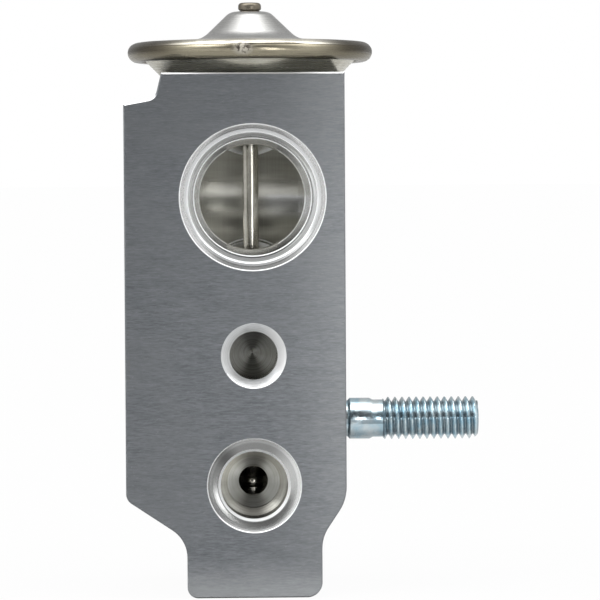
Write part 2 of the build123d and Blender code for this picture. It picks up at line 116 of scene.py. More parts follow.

# Depths in a bore over which its floors get painted shade and its tapped thread starts, and how
# much softer the marks are on the wall of the crossing passage
RECESS_SHADE_DEPTHS = (1.2 * MM, 1.5 * MM)
THREAD_RUN_IN = (1.2 * MM, 1.8 * MM)
SOFT_MARKS = (0.28, 0.75)

# Where the rod throws light on the passage: heights against its axis, and places along X.
# And how far the passage's crossings reach above and below that axis
ROD_LIGHT = (-3.6 * MM, -2.2 * MM, -0.2 * MM, 0.6 * MM)
ROD_LIGHT_ACROSS = (1.0 * MM, 4.0 * MM)
CROSSING_HEIGHT = 8.6 * MM

# Where the stud's outer thread starts, and the heights against its axis of the painted dark band
# and of the painted shade on its shank
STUD_THREAD = RIGHT_FACE + 5.9 * MM
PAINTED_DARK_BAND = (-0.75 * MM, -0.55 * MM, 1.25 * MM, 1.45 * MM)
SHADE = (-2.4 * MM, -0.8 * MM)
SHADE_TOP = -0.5 * MM

# Directions of a bore, as the group Bore Frame takes them
FRONT = {"Axis": (0, 1, 0), "Across": (-1, 0, 0)}
SIDE = {"Axis": (1, 0, 0), "Across": (0, 1, 0)}
UPRIGHT = {"Axis": (0, 0, 1), "Across": (1, 0, 0)}

# How deep a bore is clean, the painted shade on its wall, where its drilled bottom starts and how
# bright its painted glint is there, the burnish of its chamfers, and how much brighter its level
# rings and its cones are painted to the left, to the right, above and below, the depth of its
# shoulder with painted shade, if any, and the radius beyond which its level ring is painted lighter
NO_SHOULDER = -1.0
SUCTION_LOOK = {
    "clean": 5.3 * MM,
    "painted_shade": 0.0,
    "bottom": 0.0,
    "painted_glint": 0.0,
    "burnish": 0.8,
    "level": (2.3, 2.0, 1.0, 0.65),
    "cone": (1.05, 1.1, 1.0, 0.9),
    "shoulder": 5.6 * MM,
    "rim": 9.6 * MM,
}
LIQUID_LOOK = {
    "clean": 0.9 * MM,
    "painted_shade": 0.52,
    "bottom": 6.4 * MM,
    "painted_glint": 1.0,
    "burnish": 0.3,
    "level": (0.46, 1.4, 0.62, 1.0),
    "cone": (1.0, 1.2, 0.95, 0.4),
    "shoulder": NO_SHOULDER,
    "rim": 5.85 * MM,
}
FIXING_LOOK = {
    "clean": 1.1 * MM,
    "painted_shade": 0.5,
    "bottom": 8.3 * MM,
    "painted_glint": 0.9,
    "burnish": 0.0,
    "level": (1.0, 1.0, 1.0, 1.0),
    "cone": (1.0, 1.3, 1.1, 0.5),
    "shoulder": NO_SHOULDER,
    "rim": 1.0,
}
# The passage from the left face runs on behind the front port, where only its wall counts
CROSSING_LOOK = dict(SUCTION_LOOK, wall=7.3 * MM)
SHOULDER_PAINTED_LIGHT = (0.95, 1.15, 0.47, 0.65)

# Each bore: mouth, directions, widest radius, depth, and how its kind of bore looks
BORES = (
    ((0, 0, 0), UPRIGHT, 9.1 * MM, BLOCK_HIGH.z, SUCTION_LOOK),
    ((0, FRONT_FACE, SUCTION_HEIGHT), FRONT, SUCTION_REACH, 22 * MM, SUCTION_LOOK),
    ((0, FRONT_FACE, INLET_HEIGHT), FRONT, LIQUID_REACH, 9.2 * MM, LIQUID_LOOK),
    ((0, FRONT_FACE, FIXING_HEIGHT), FRONT, FIXING_REACH, 12 * MM, FIXING_LOOK),
    ((LEFT_FACE, 0, SUCTION_HEIGHT), SIDE, SUCTION_REACH, 9.4 * MM, SUCTION_LOOK),
    ((LEFT_FACE, 0, SUCTION_HEIGHT), SIDE, SUCTION_REACH, 26 * MM, CROSSING_LOOK),
    ((LEFT_FACE, 0, OUTLET_HEIGHT), SIDE, LIQUID_REACH, 12.6 * MM, LIQUID_LOOK),
)


# ---------------------------------------------------------------- node trees


class Wiring:
    """Adds nodes to one tree and joins them up."""

    # The first value and the output of a Mix node for each kind of data
    MIXES = {"FLOAT": (2, 0), "VECTOR": (4, 1), "RGBA": (6, 2)}

    def __init__(self, tree):
        self.tree = tree

    def node(self, kind, inputs=None, **settings):
        """A new node with these settings, its inputs given a value or another socket."""
        node = self.tree.nodes.new(kind)
        for name, value in settings.items():
            setattr(node, name, value)
        for name, value in (inputs or {}).items():
            self.feed(node.inputs[name], value)
        return node

    def feed(self, socket, value):
        """Gives a socket a link or a constant. Constant colours are opaque."""
        if isinstance(value, bpy.types.NodeSocket):
            self.tree.links.new(value, socket)
        elif socket.type == "RGBA":
            socket.default_value = (*value[:3], 1)
        else:
            socket.default_value = value

    def feed_all(self, sockets, values):
        for socket, value in zip(sockets, values):
            self.feed(socket, value)

    def maths(self, operation, *values, clamp=False):
        node = self.node("ShaderNodeMath", operation=operation, use_clamp=clamp)
        self.feed_all(node.inputs, values)
        return node.outputs["Value"]

    def fold(self, operation, values):
        """Joins two or more values by one operation, from the first to the last."""
        total = values[0]
        for value in values[1:]:
            total = self.maths(operation, total, value)
        return total

    def times(self, *values):
        return self.fold("MULTIPLY", values)

    def plus(self, *values):
        return self.fold("ADD", values)

    def minus(self, *values):
        return self.fold("SUBTRACT", values)

    def ratio(self, *values):
        return self.fold("DIVIDE", values)

    def largest(self, *values):
        return self.fold("MAXIMUM", values)

    def size(self, value):
        return self.maths("ABSOLUTE", value)

    def near(self, value, target, tolerance):
        """1 where a value lies within the tolerance of its target."""
        return self.maths("COMPARE", value, target, tolerance)

    def vector(self, operation, *values, output="Vector"):
        node = self.node("ShaderNodeVectorMath", operation=operation)
        self.feed_all(node.inputs, values)
        return node.outputs[output]

    def dot(self, first, second):
        return self.vector("DOT_PRODUCT", first, second, output="Value")

    def scaled(self, vector, factor):
        inputs = {"Vector": vector, "Scale": factor}
        return self.node("ShaderNodeVectorMath", inputs, operation="SCALE").outputs["Vector"]

    def combine(self, x, y, z):
        return self.node("ShaderNodeCombineXYZ", {"X": x, "Y": y, "Z": z}).outputs["Vector"]

    def separate(self, vector):
        return self.node("ShaderNodeSeparateXYZ", {"Vector": vector}).outputs

    def length(self, *vector):
        """Length of a vector, given as one socket or as its three parts."""
        whole = vector[0] if len(vector) == 1 else self.combine(*vector)
        return self.vector("LENGTH", whole, output="Value")

    def ramp(self, value, low, high, to_low=0.0, to_high=1.0, smooth=True):
        """Maps low..high onto to_low..to_high, held at both ends."""
        kind = "SMOOTHSTEP" if smooth else "LINEAR"
        node = self.node("ShaderNodeMapRange", interpolation_type=kind)
        self.feed_all(node.inputs, (value, low, high, to_low, to_high))
        return node.outputs["Result"]

    def window(self, value, start, full, fade, end):
        """0 up to start, 1 from full to fade, and 0 again from end on."""
        return self.times(self.ramp(value, start, full), self.ramp(value, fade, end, 1.0, 0.0))

    def mix(self, kind, values):
        """Between two values of one kind, by a factor that comes first."""
        first, output = self.MIXES[kind]
        node = self.node("ShaderNodeMix", data_type=kind)
        self.feed_all(node.inputs[:1] + node.inputs[first : first + 2], values)
        return node.outputs[output]

    def blend(self, *values):
        return self.mix("FLOAT", values)

    def tint(self, *values):
        return self.mix("RGBA", values)

    def noise(self, vector, scale=1.0, detail=2.0, roughness=0.5, distortion=0.0):
        amounts = {"Scale": scale, "Detail": detail, "Roughness": roughness}
        inputs = {"Vector": vector, **amounts, "Distortion": distortion}
        return self.node("ShaderNodeTexNoise", inputs).outputs["Fac"]

    def seeded_noise(self, vector, seed, scale, detail):
        inputs = {"Vector": vector, "W": seed, "Scale": scale, "Detail": detail}
        return self.node("ShaderNodeTexNoise", inputs, noise_dimensions="4D").outputs["Fac"]

    def helix(self, along, pitch, turn):
        """Wave of one pitch that winds round an axis: 0 half-way, 1 where a turn starts."""
        phase = self.maths("FRACT", self.minus(self.ratio(along, pitch), turn))
        return self.size(self.minus(self.times(phase, 2.0), 1.0))

    def moved(self, geometry, name, value):
        """Geometry with its Position or Offset set."""
        inputs = {"Geometry": geometry, name: value}
        return self.node("GeometryNodeSetPosition", inputs).outputs["Geometry"]


FLOAT = "NodeSocketFloat"
VECTOR = "NodeSocketVector"
GEOMETRY = "NodeSocketGeometry"
MATERIAL = "NodeSocketMaterial"
SOCKET_KINDS = {float: FLOAT, int: "NodeSocketInt", tuple: VECTOR}


def new_group(name, inputs, outputs, tree_type="ShaderNodeTree"):
    """A node group: its wiring, its inputs and its outputs.

    An input is given by its default, or by its kind where it has no default."""
    group = bpy.data.node_groups.new(name, tree_type)
    for title, default in inputs.items():
        kind = SOCKET_KINDS.get(type(default), default)
        socket = group.interface.new_socket(title, in_out="INPUT", socket_type=kind)
        if kind != default:
            socket.default_value = default
    for title, kind in outputs.items():
        group.interface.new_socket(title, in_out="OUTPUT", socket_type=kind)
    net = Wiring(group)
    start = net.node("NodeGroupInput")
    end = net.node("NodeGroupOutput")
    return net, start.outputs, end.inputs


def brushed_lines_group():
    """Long soft streaks: Cell is the length, width and height of one streak."""
    net, given, result = new_group(
        "Brushed Lines",
        {"Vector": VECTOR, "Cell": (0.004, 0.004, 0.0002)},
        {"Lines": FLOAT, "Bands": FLOAT},
    )
    cells = net.vector("DIVIDE", given["Vector"], given["Cell"])
    fine = net.noise(cells, 1.0, 4.0, 0.65)
    broad = net.noise(net.vector("ADD", cells, (31.7, 12.3, 5.9)), 0.23, 2.0, 0.6)
    lines = net.blend(0.3, fine, broad)
    net.feed(result["Lines"], net.ramp(lines, 0.32, 0.68, smooth=False))
    net.feed(result["Bands"], net.ramp(broad, 0.35, 0.65))
    return net.tree


def bore_frame_group():
    """Where a point lies in a bore: its radius, its depth and its angle in turns."""
    net, given, result = new_group(
        "Bore Frame",
        {"Vector": VECTOR, "Mouth": (0, 0, 0), "Axis": (0, 1, 0), "Across": (1, 0, 0)},
        {"Radius": FLOAT, "Depth": FLOAT, "Turn": FLOAT, "Around": VECTOR},
    )
    axis = given["Axis"]
    across = given["Across"]
    offset = net.vector("SUBTRACT", given["Vector"], given["Mouth"])
    depth = net.dot(offset, axis)
    radial = net.vector("SUBTRACT", offset, net.scaled(axis, depth))
    sine = net.dot(radial, net.vector("CROSS_PRODUCT", axis, across))
    angle = net.maths("ARCTAN2", sine, net.dot(radial, across))
    net.feed(result["Radius"], net.length(radial))
    net.feed(result["Depth"], depth)
    net.feed(result["Turn"], net.ratio(angle, CIRCLE))
    around = net.vector("CROSS_PRODUCT", axis, radial)
    net.feed(result["Around"], net.vector("NORMALIZE", around))
    return net.tree


def tool_rings_group():
    """Rings that a turning tool leaves, and a mask of the turned zone."""
    place = {"Radius": 0.0, "Depth": 0.0, "Turn": 0.0}
    bore = {"Reach": 0.01, "Deepest": 0.01, "Spacing": 0.0001}
    outputs = {"Lines": FLOAT, "Mask": FLOAT}
    net, given, result = new_group("Tool Rings", {**place, **bore}, outputs)
    ring = net.ratio(given["Radius"], given["Spacing"])
    step = net.ratio(given["Depth"], given["Spacing"])
    swing = net.maths("SINE", net.times(given["Turn"], CIRCLE))
    lines = net.noise(net.combine(ring, step, net.times(swing, 0.7)), 1.0, 3.0, 0.6)
    within = net.maths("LESS_THAN", given["Radius"], given["Reach"])
    below = net.maths("LESS_THAN", given["Depth"], given["Deepest"])
    inside = net.maths("GREATER_THAN", given["Depth"], -0.05 * MM)
    net.feed(result["Lines"], net.ramp(lines, 0.3, 0.7, smooth=False))
    net.feed(result["Mask"], net.times(within, below, inside))
    return net.tree


def stains_group():
    """Faint handling marks and oil film: soft patches and small specks."""
    outputs = {"Patches": FLOAT, "Specks": FLOAT}
    net, given, result = new_group("Stains", {"Vector": VECTOR, "Size": 0.006}, outputs)
    scale = net.ratio(1.0, given["Size"])
    patches = net.noise(given["Vector"], scale, 3.0, 0.55, 0.4)
    specks = net.noise(given["Vector"], net.times(scale, 18.0))
    net.feed(result["Patches"], net.ramp(patches, 0.38, 0.66))
    net.feed(result["Specks"], net.ramp(specks, 0.64, 0.74))
    return net.tree


def scratches_group():
    """Sparse hairline scratches in two directions."""
    inputs = {"Vector": VECTOR, "Length": 0.006}
    net, given, result = new_group("Scratches", inputs, {"Scratches": FLOAT})
    masks = []
    for turn, spread in ((0.5, 41.0), (-0.9, 57.0)):
        turning = {"Vector": given["Vector"], "Rotation": (turn, turn / 2, turn)}
        turned = net.node("ShaderNodeVectorRotate", turning, rotation_type="EULER_XYZ")
        unit = net.scaled(turned.outputs["Vector"], net.ratio(1.0, given["Length"]))
        thin = net.vector("MULTIPLY", unit, (1.0, spread, spread))
        masks.append(net.ramp(net.noise(thin, 1.0, 1.0), 0.7, 0.76))
    net.feed(result["Scratches"], net.largest(*masks))
    return net.tree


def thread_profile_group():
    """Height of a 60 degree thread at a depth and an angle in turns: 0 root, 1 crest."""
    inputs = {"Depth": 0.0, "Turn": 0.0, "Pitch": 0.001}
    net, given, result = new_group("Thread Profile", inputs, {"Height": FLOAT})
    ridge = net.helix(given["Depth"], given["Pitch"], given["Turn"])
    net.feed(result["Height"], net.ramp(ridge, 0.12, 0.88))
    return net.tree


GROUP_MAKERS = {
    "Brushed Lines": brushed_lines_group,
    "Bore Frame": bore_frame_group,
    "Tool Rings": tool_rings_group,
    "Stains": stains_group,
    "Scratches": scratches_group,
    "Thread Profile": thread_profile_group,
}


class Finish:
    """One material: its wiring, its shader and the object coordinates it reads."""

    def __init__(self, name, metallic=1.0, roughness=0.3):
        self.material = bpy.data.materials.new(name)
        self.material.use_nodes = True
        self.net = Wiring(self.material.node_tree)
        self.shader = self.material.node_tree.nodes["Principled BSDF"]
        self.point = self.net.node("ShaderNodeTexCoord").outputs["Object"]
        self.feed("Metallic", metallic)
        self.feed("Roughness", roughness)

    def feed(self, name, value):
        self.net.feed(self.shader.inputs[name], value)

    def relief(self, height, depth):
        """Bump of this depth in metres from a height of 0 to 1."""
        inputs = {"Height": height, "Distance": depth, "Strength": 1.0}
        self.feed("Normal", self.net.node("ShaderNodeBump", inputs).outputs["Normal"])

    def group(self, name, **inputs):
        """Places a shared shader group, at this material's point, and returns its outputs."""
        tree = bpy.data.node_groups.get(name) or GROUP_MAKERS[name]()
        node = self.net.node("ShaderNodeGroup", inputs, node_tree=tree)
        if "Vector" in node.inputs:
            self.net.feed(node.inputs["Vector"], self.point)
        return node.outputs

    def streaks(self, length, width, height):
        return self.group("Brushed Lines", Cell=(length, width, height))

    def rings(self, at, spacing, reach=1.0, deepest=1.0, both_ways=False):
        """The turned rings round a bore frame, and on both sides of its mouth if asked."""
        depth = self.net.size(at["Depth"]) if both_ways else at["Depth"]
        place = {"Radius": at["Radius"], "Depth": depth, "Turn": at["Turn"]}
        return self.group("Tool Rings", **place, Reach=reach, Deepest=deepest, Spacing=spacing)

    def wear(self, stain_size, scratch_length):
        """Masks of the stains and of the scratches."""
        stains = self.group("Stains", Size=stain_size)
        return stains, self.group("Scratches", Length=scratch_length)["Scratches"]

    def dress(self, *node_names):
        """Gives CAD nodes this finish."""
        for name in node_names:
            for slot in NODES[name].material_slots:
                slot.material = self.material


# ------------------------------------------------------------------- finishes


class BoreMarks:
    """What turning and oil left in all bores of the block, with painted light and shade: masks,
    tones and a direction.
    """

    def __init__(self, finish, settings, normal, lines):
        self.finish = finish
        self.settings = settings
        self.normal = normal
        self.lines = lines
        self.turned = self.deep = self.slanted = self.burnished = 0.0
        self.painted_bore_shade = self.painted_glints = self.painted_recess_shade = 0.0
        self.level_painted_light = self.cone_painted_light = self.shoulder_painted_light = 1.0
        self.around = (1.0, 0.0, 0.0)

    def add(self, mouth, directions, reach, deepest, look):
        """Adds one bore. Its walls, cones and level rings get painted light and shade that differ
        all round.
        """
        net = self.finish.net
        at = self.finish.group("Bore Frame", Mouth=mouth, **directions)
        rings = self.finish.rings(at, self.settings.ring_spacing, reach, deepest)
        radius = at["Radius"]
        depth = at["Depth"]
        mask = rings["Mask"]
        marks = rings["Lines"]
        if "wall" in look:
            mask = net.times(mask, net.near(radius, look["wall"], 0.05 * MM))
            marks = net.ramp(marks, 0.0, 1.0, *SOFT_MARKS, smooth=False)
        self.lines = net.blend(mask, self.lines, marks)
        self.turned = net.largest(self.turned, mask)
        low = net.ramp(depth, look["clean"], look["clean"] + self.settings.oil_edge)
        self.deep = net.largest(self.deep, net.times(low, mask))

        circle = net.times(at["Turn"], CIRCLE)
        left = net.maths("COSINE", circle)
        up = net.maths("SINE", circle)
        aside = net.size(left)

        def painted_side_light(tones):
            """A factor of painted light and shade that differs to the left, to the right, above and
            below.
            """
            total = 1.0
            start, full = SIDE_EDGE
            for share, sign, tone in zip((left, left, up, up), (1, -1, 1, -1), tones):
                side = net.ramp(share, start * sign, full * sign)
                total = net.plus(total, net.times(side, tone - 1.0))
            return total

        # Painted shade on the wall: lighter to both sides and darker at the bottom
        painted_shade = net.ramp(aside, 0.1, 1.0, 1.2 * look["painted_shade"], 0.3 * look["painted_shade"])
        painted_shade = net.times(painted_shade, net.ramp(up, -0.85, -0.4, 1.35, 1.0))
        self.painted_bore_shade = net.blend(mask, self.painted_bore_shade, painted_shade)
        # Painted highlight: the level ring is made lighter beyond its rim radius
        rim = net.ramp(radius, look["rim"], look["rim"] + 0.15 * MM, 1.0, 1.45)
        level_painted_light = net.times(painted_side_light(look["level"]), rim)
        self.level_painted_light = net.blend(mask, self.level_painted_light, level_painted_light)
        self.cone_painted_light = net.blend(mask, self.cone_painted_light, painted_side_light(look["cone"]))

        along = net.size(net.dot(self.normal, directions["Axis"]))
        slant = net.window(along, *WALL_TO_CONE, *CONE_TO_FLOOR)
        self.slanted = net.largest(self.slanted, net.times(slant, mask))
        chamfer = net.near(along, CHAMFER, 0.02)
        burnished = net.times(chamfer, mask, look["burnish"])
        self.burnished = net.largest(self.burnished, burnished)

        # Painted glint: the drilled cones at the bottom are painted bright to both sides, in soft
        # sectors
        sector = net.noise(net.combine(up, left, reach / MM), 1.2, 1.0)
        sector = net.times(
            net.ramp(sector, 0.35, 0.65, 0.55, 1.0),
            net.ramp(aside, 0.3, 0.9, 0.3, 1.0),
            net.ramp(rings["Lines"], 0.1, 0.8, 0.6, 1.15),
        )
        bottom = net.ramp(depth, look["bottom"], look["bottom"] + 0.2 * MM)
        painted_glint = net.times(slant, bottom, look["painted_glint"], sector, mask)
        self.painted_glints = net.maths("MAXIMUM", self.painted_glints, painted_glint, clamp=True)

        floor = net.times(net.ramp(along, *FLOOR), mask)
        shoulder = net.times(net.near(depth, look["shoulder"], 0.1 * MM), floor)
        self.shoulder_painted_light = net.blend(shoulder, self.shoulder_painted_light, painted_side_light(SHOULDER_PAINTED_LIGHT))
        self.painted_recess_shade = net.largest(self.painted_recess_shade, net.times(floor, net.ramp(depth, *RECESS_SHADE_DEPTHS)))
        self.around = net.mix("VECTOR", (mask, self.around, at["Around"]))
        return at


def block_finish(settings):
    """Extruded aluminium, sawn and brushed on two faces and turned in its ports."""
    finish = Finish("block_aluminium")
    net = finish.net
    place = net.separate(finish.point)
    normal = net.node("ShaderNodeNewGeometry").outputs["Normal"]
    directions = net.separate(normal)
    from_middle = net.size(place["Y"])
    at_face = net.maths("GREATER_THAN", from_middle, BLOCK_HIGH.y - SAWN_DEPTH)
    sawn = net.times(at_face, net.ramp(net.size(directions["Y"]), 0.9, 0.99))

    streak_length = settings.streak_length
    die_width = settings.die_line_width
    sawn_lines = finish.streaks(streak_length, streak_length, settings.streak_height)["Lines"]
    die_lines = finish.streaks(die_width, settings.die_line_length, die_width)["Lines"]
    marks = BoreMarks(finish, settings, normal, net.blend(sawn, die_lines, sawn_lines))
    for bore in BORES:
        at = marks.add(*bore)
        if bore[-1] is FIXING_LOOK:
            fixing = at
    lines = marks.lines
    deep = marks.deep
    slanted = marks.slanted
    turned = net.times(marks.turned, net.minus(1.0, sawn))
    stains, scratches = finish.wear(settings.stain_size, 7 * MM)

    # Painted light: the face is made lighter along its foot and its right edge
    foot = net.ramp(place["Z"], *PAINTED_LIGHT_FOOT, 0.3, 0.0)
    right = net.ramp(place["X"], *PAINTED_LIGHT_RIGHT, 0.0, 0.11)
    face = net.tint(lines, settings.face_dark, settings.face_light)
    face = net.tint(net.times(stains["Patches"], 0.35), face, settings.face_stain)
    face = net.tint(net.times(scratches, 0.08), face, settings.cut_colour)
    face = net.tint(net.largest(foot, right), face, settings.cut_colour)

    # Clean cuts: bright cones, duller level rings, and painted shade on the outer edge of the
    # suction cones
    cut = net.tint(slanted, settings.ledge_colour, settings.cut_colour)
    # Painted shade on the level floors deep in a mouth
    cut = net.tint(net.times(marks.painted_recess_shade, 0.75), cut, settings.recess_shade_colour)
    cut = net.tint(net.ramp(lines, 0.0, 0.7, 0.4, 0.0), cut, settings.ledge_colour)
    height = net.minus(place["Z"], SUCTION_HEIGHT)
    from_front_port = net.length(place["X"], 0.0, height)
    from_side_port = net.length(0.0, place["Y"], height)
    # Painted shade on the outer edge of each suction cone, most where its normal looks up
    outer = net.maths(
        "ADD",
        net.near(from_front_port, CONE_EDGE, CONE_EDGE_SHADE_WIDTH),
        net.near(from_side_port, CONE_EDGE, CONE_EDGE_SHADE_WIDTH),
        clamp=True,
    )
    outer = net.times(outer, slanted, net.ramp(directions["Z"], 0.0, 0.5, 0.25, 0.8))
    # Painted light and shade on the level rings and the cones, by side
    tone = net.blend(slanted, marks.level_painted_light, marks.cone_painted_light)
    tone = net.times(tone, net.minus(1.0, outer))
    cut = net.vector("MULTIPLY", cut, net.combine(tone, tone, tone))
    brightest = 0.97
    cut = net.vector("MINIMUM", cut, (brightest, brightest, brightest))

    # Light and dark bands lie along the crossing passages, and the rod throws light to its right
    band_length = settings.band_length
    bands = finish.streaks(band_length, band_length, settings.band_height)["Lines"]
    banded = net.blend(net.maths("SUBTRACT", 0.55, marks.painted_bore_shade, clamp=True), lines, bands)
    oiled = net.tint(banded, settings.bore_dark, settings.bore_colour)
    # Painted shade deep in the small bores
    oiled = net.tint(marks.painted_bore_shade, oiled, settings.bore_shadow)
    lit = net.window(height, *ROD_LIGHT)
    lit = net.times(lit, net.ramp(place["X"], *ROD_LIGHT_ACROSS, 0.0, 0.85))
    oiled = net.tint(lit, oiled, settings.edge_and_highlight_colour)
    # Painted glint on the drilled bottoms
    oiled = net.tint(marks.painted_glints, oiled, settings.cut_colour)
    bore = net.tint(deep, cut, oiled)
    # Painted shade on the suction port's shoulder, darkest above
    tone = marks.shoulder_painted_light
    bore = net.vector("MULTIPLY", bore, net.combine(tone, tone, tone))

    # The outline's broken edges are fresh metal, painted bright as a highlight only where they look
    # up
    edge = net.maths("GREATER_THAN", from_middle, BLOCK_HIGH.y - EDGE_DEPTH)
    edge = net.times(edge, net.ramp(directions["Z"], 0.3, 0.6))
    edge = net.largest(edge, net.times(marks.burnished, net.minus(1.0, deep)))
    # Painted highlight, over partly burnished metal, along the holes that cross the passage
    from_axis = net.length(place["X"], place["Y"], 0.0)
    upper_rim = net.near(from_axis, UPPER_HOLE, CROSSING_HIGHLIGHT_WIDTH)
    crossing = net.times(
        net.largest(upper_rim, net.near(from_axis, ROD_HOLE, CROSSING_HIGHLIGHT_WIDTH)),
        net.ramp(from_side_port, *PASSAGE_WALL, 1.0, 0.15),
        net.near(place["Z"], SUCTION_HEIGHT, CROSSING_HEIGHT),
        0.85,
    )
    edge = net.largest(edge, crossing)
    metal = net.tint(turned, face, bore)
    finish.feed("Base Color", net.tint(edge, metal, settings.edge_and_highlight_colour))

    rough_face = net.ramp(lines, 0.0, 1.0, 0.38, 0.3)
    rough_bore = net.blend(deep, net.ramp(lines, 0.0, 1.0, 0.22, 0.15), 0.26)
    finish.feed("Roughness", net.blend(edge, net.blend(turned, rough_face, rough_bore), 0.6))
    # The burnished edges and the turned walls scatter some light under their oil
    metallic = net.blend(turned, 1.0, settings.bore_metallic)
    metallic = net.blend(slanted, metallic, settings.bore_metallic - 0.15)
    finish.feed("Metallic", net.blend(edge, metallic, 0.35))
    # Turned grooves spread the light across them
    finish.feed("Anisotropic", net.times(turned, 0.35))
    finish.feed("Tangent", marks.around)

    winding = {"Depth": fixing["Depth"], "Turn": fixing["Turn"], "Pitch": settings.fixing_pitch}
    thread = finish.group("Thread Profile", **winding)
    tapped = net.times(
        net.near(fixing["Radius"], TAPPED_RADIUS, 0.06 * MM),
        net.ramp(fixing["Depth"], *THREAD_RUN_IN),
    )
    fine = net.times(lines, net.blend(turned, 0.016, 0.01))
    finish.relief(net.blend(tapped, fine, thread["Height"]), 0.25 * MM)
    return finish


def stainless_finish(name, bright, dull, metallic=1.0):
    """Pressed and spun stainless steel of the power head."""
    finish = Finish(name, metallic)
    net = finish.net
    at = finish.group("Bore Frame", Mouth=(0, 0, 0), **UPRIGHT)
    rings = finish.rings(at, 0.1 * MM)["Lines"]
    stains, scratches = finish.wear(5 * MM, 4 * MM)
    colour = net.tint(net.ramp(rings, 0.0, 1.0, 0.0, 0.4), bright, dull)
    finish.feed("Base Color", net.tint(net.times(stains["Patches"], 0.4), colour, dull))
    satin = net.ramp(rings, 0.0, 1.0, 0.24, 0.34)
    finish.feed("Roughness", net.plus(satin, net.times(scratches, 0.12)))
    finish.relief(rings, 0.004 * MM)
    return finish


def turned_steel(name, bright, dull, rough):
    """Turned or drawn metal with rings round its upright axis and a faint oil film."""
    finish = Finish(name)
    net = finish.net
    at = finish.group("Bore Frame", Mouth=(0, 0, 0), **UPRIGHT)
    rings = finish.rings(at, 0.08 * MM, both_ways=True)["Lines"]
    stains, scratches = finish.wear(3 * MM, 2.5 * MM)
    shade = net.blend(0.5, rings, stains["Patches"])
    finish.feed("Base Color", net.tint(shade, bright, dull))
    satin = net.ramp(rings, 0.0, 1.0, rough, rough * 1.5)
    finish.feed("Roughness", net.plus(satin, net.times(scratches, 0.15)))
    finish.relief(rings, 0.003 * MM)
    return finish


def weld_finish(settings):
    """Heat-tinted weld bead, straw and olive, drawn out in long streaks round the rim."""
    finish = Finish("weld_bead", 0.85)
    net = finish.net
    at = finish.group("Bore Frame", Mouth=(0, 0, 0), **UPRIGHT)
    length = settings.tint_length
    streaks = finish.streaks(length, length, settings.tint_height)
    stains = finish.group("Stains", Size=3 * MM)

    # From the top: bare steel, a dark seam, straw, olive and a dark foot
    wander = net.ramp(streaks["Bands"], 0.0, 1.0, -0.12 * MM, 0.12 * MM)
    height = net.plus(net.separate(finish.point)["Z"], wander)
    colour = net.tint(net.ramp(height, *WELD_STRAW), settings.weld_olive, settings.weld_straw)
    seam_height = settings.seam_height
    bare = net.ramp(height, seam_height, seam_height + 0.1 * MM)
    colour = net.tint(bare, colour, settings.weld_steel)
    seam = net.near(height, seam_height, 0.06 * MM)
    foot = net.ramp(height, *WELD_FOOT, 1.0, 0.0)
    streaky = net.ramp(streaks["Lines"], 0.0, 0.45, 0.75, 0.0)
    # Painted shade: the bead is darkened towards both sides of the rim, most of all on top
    sideways = net.size(net.maths("SINE", net.plus(net.times(at["Turn"], CIRCLE), CIRCLE / 4)))
    side_shade = net.times(net.ramp(sideways, 0.42, 0.8), net.ramp(height, *WELD_SIDE_SHADE, 0.5, 1.0))
    dark = net.largest(seam, foot, streaky, side_shade)
    colour = net.tint(net.times(stains["Patches"], 0.4), colour, settings.weld_olive)
    colour = net.tint(net.times(dark, 0.9), colour, settings.weld_brown)

    # Pale scale and dark pits lie where the weld starts
    mark = (settings.mark_offset, WELD_LOW.y, (WELD_LOW.z + WELD_HIGH.z) / 2)
    to_mark = net.vector("SUBTRACT", finish.point, mark)
    away = net.length(net.vector("MULTIPLY", to_mark, (1.0, 0.3, 1.6)))
    near_mark = net.ramp(away, 0.4 * MM, settings.mark_size, 1.0, 0.0)
    pits = net.noise(finish.point, 1900.0)
    pitted = net.times(near_mark, net.ramp(pits, 0.5, 0.6))
    colour = net.tint(net.times(near_mark, 0.5), colour, settings.weld_scale)
    finish.feed("Base Color", net.tint(pitted, colour, settings.weld_pit))
    rough = net.ramp(streaks["Lines"], 0.0, 1.0, 0.34, 0.22)
    finish.feed("Roughness", net.plus(rough, net.times(near_mark, 0.25)))
    finish.relief(net.minus(streaks["Lines"], net.times(pitted, 2.0)), 0.012 * MM)
    return finish


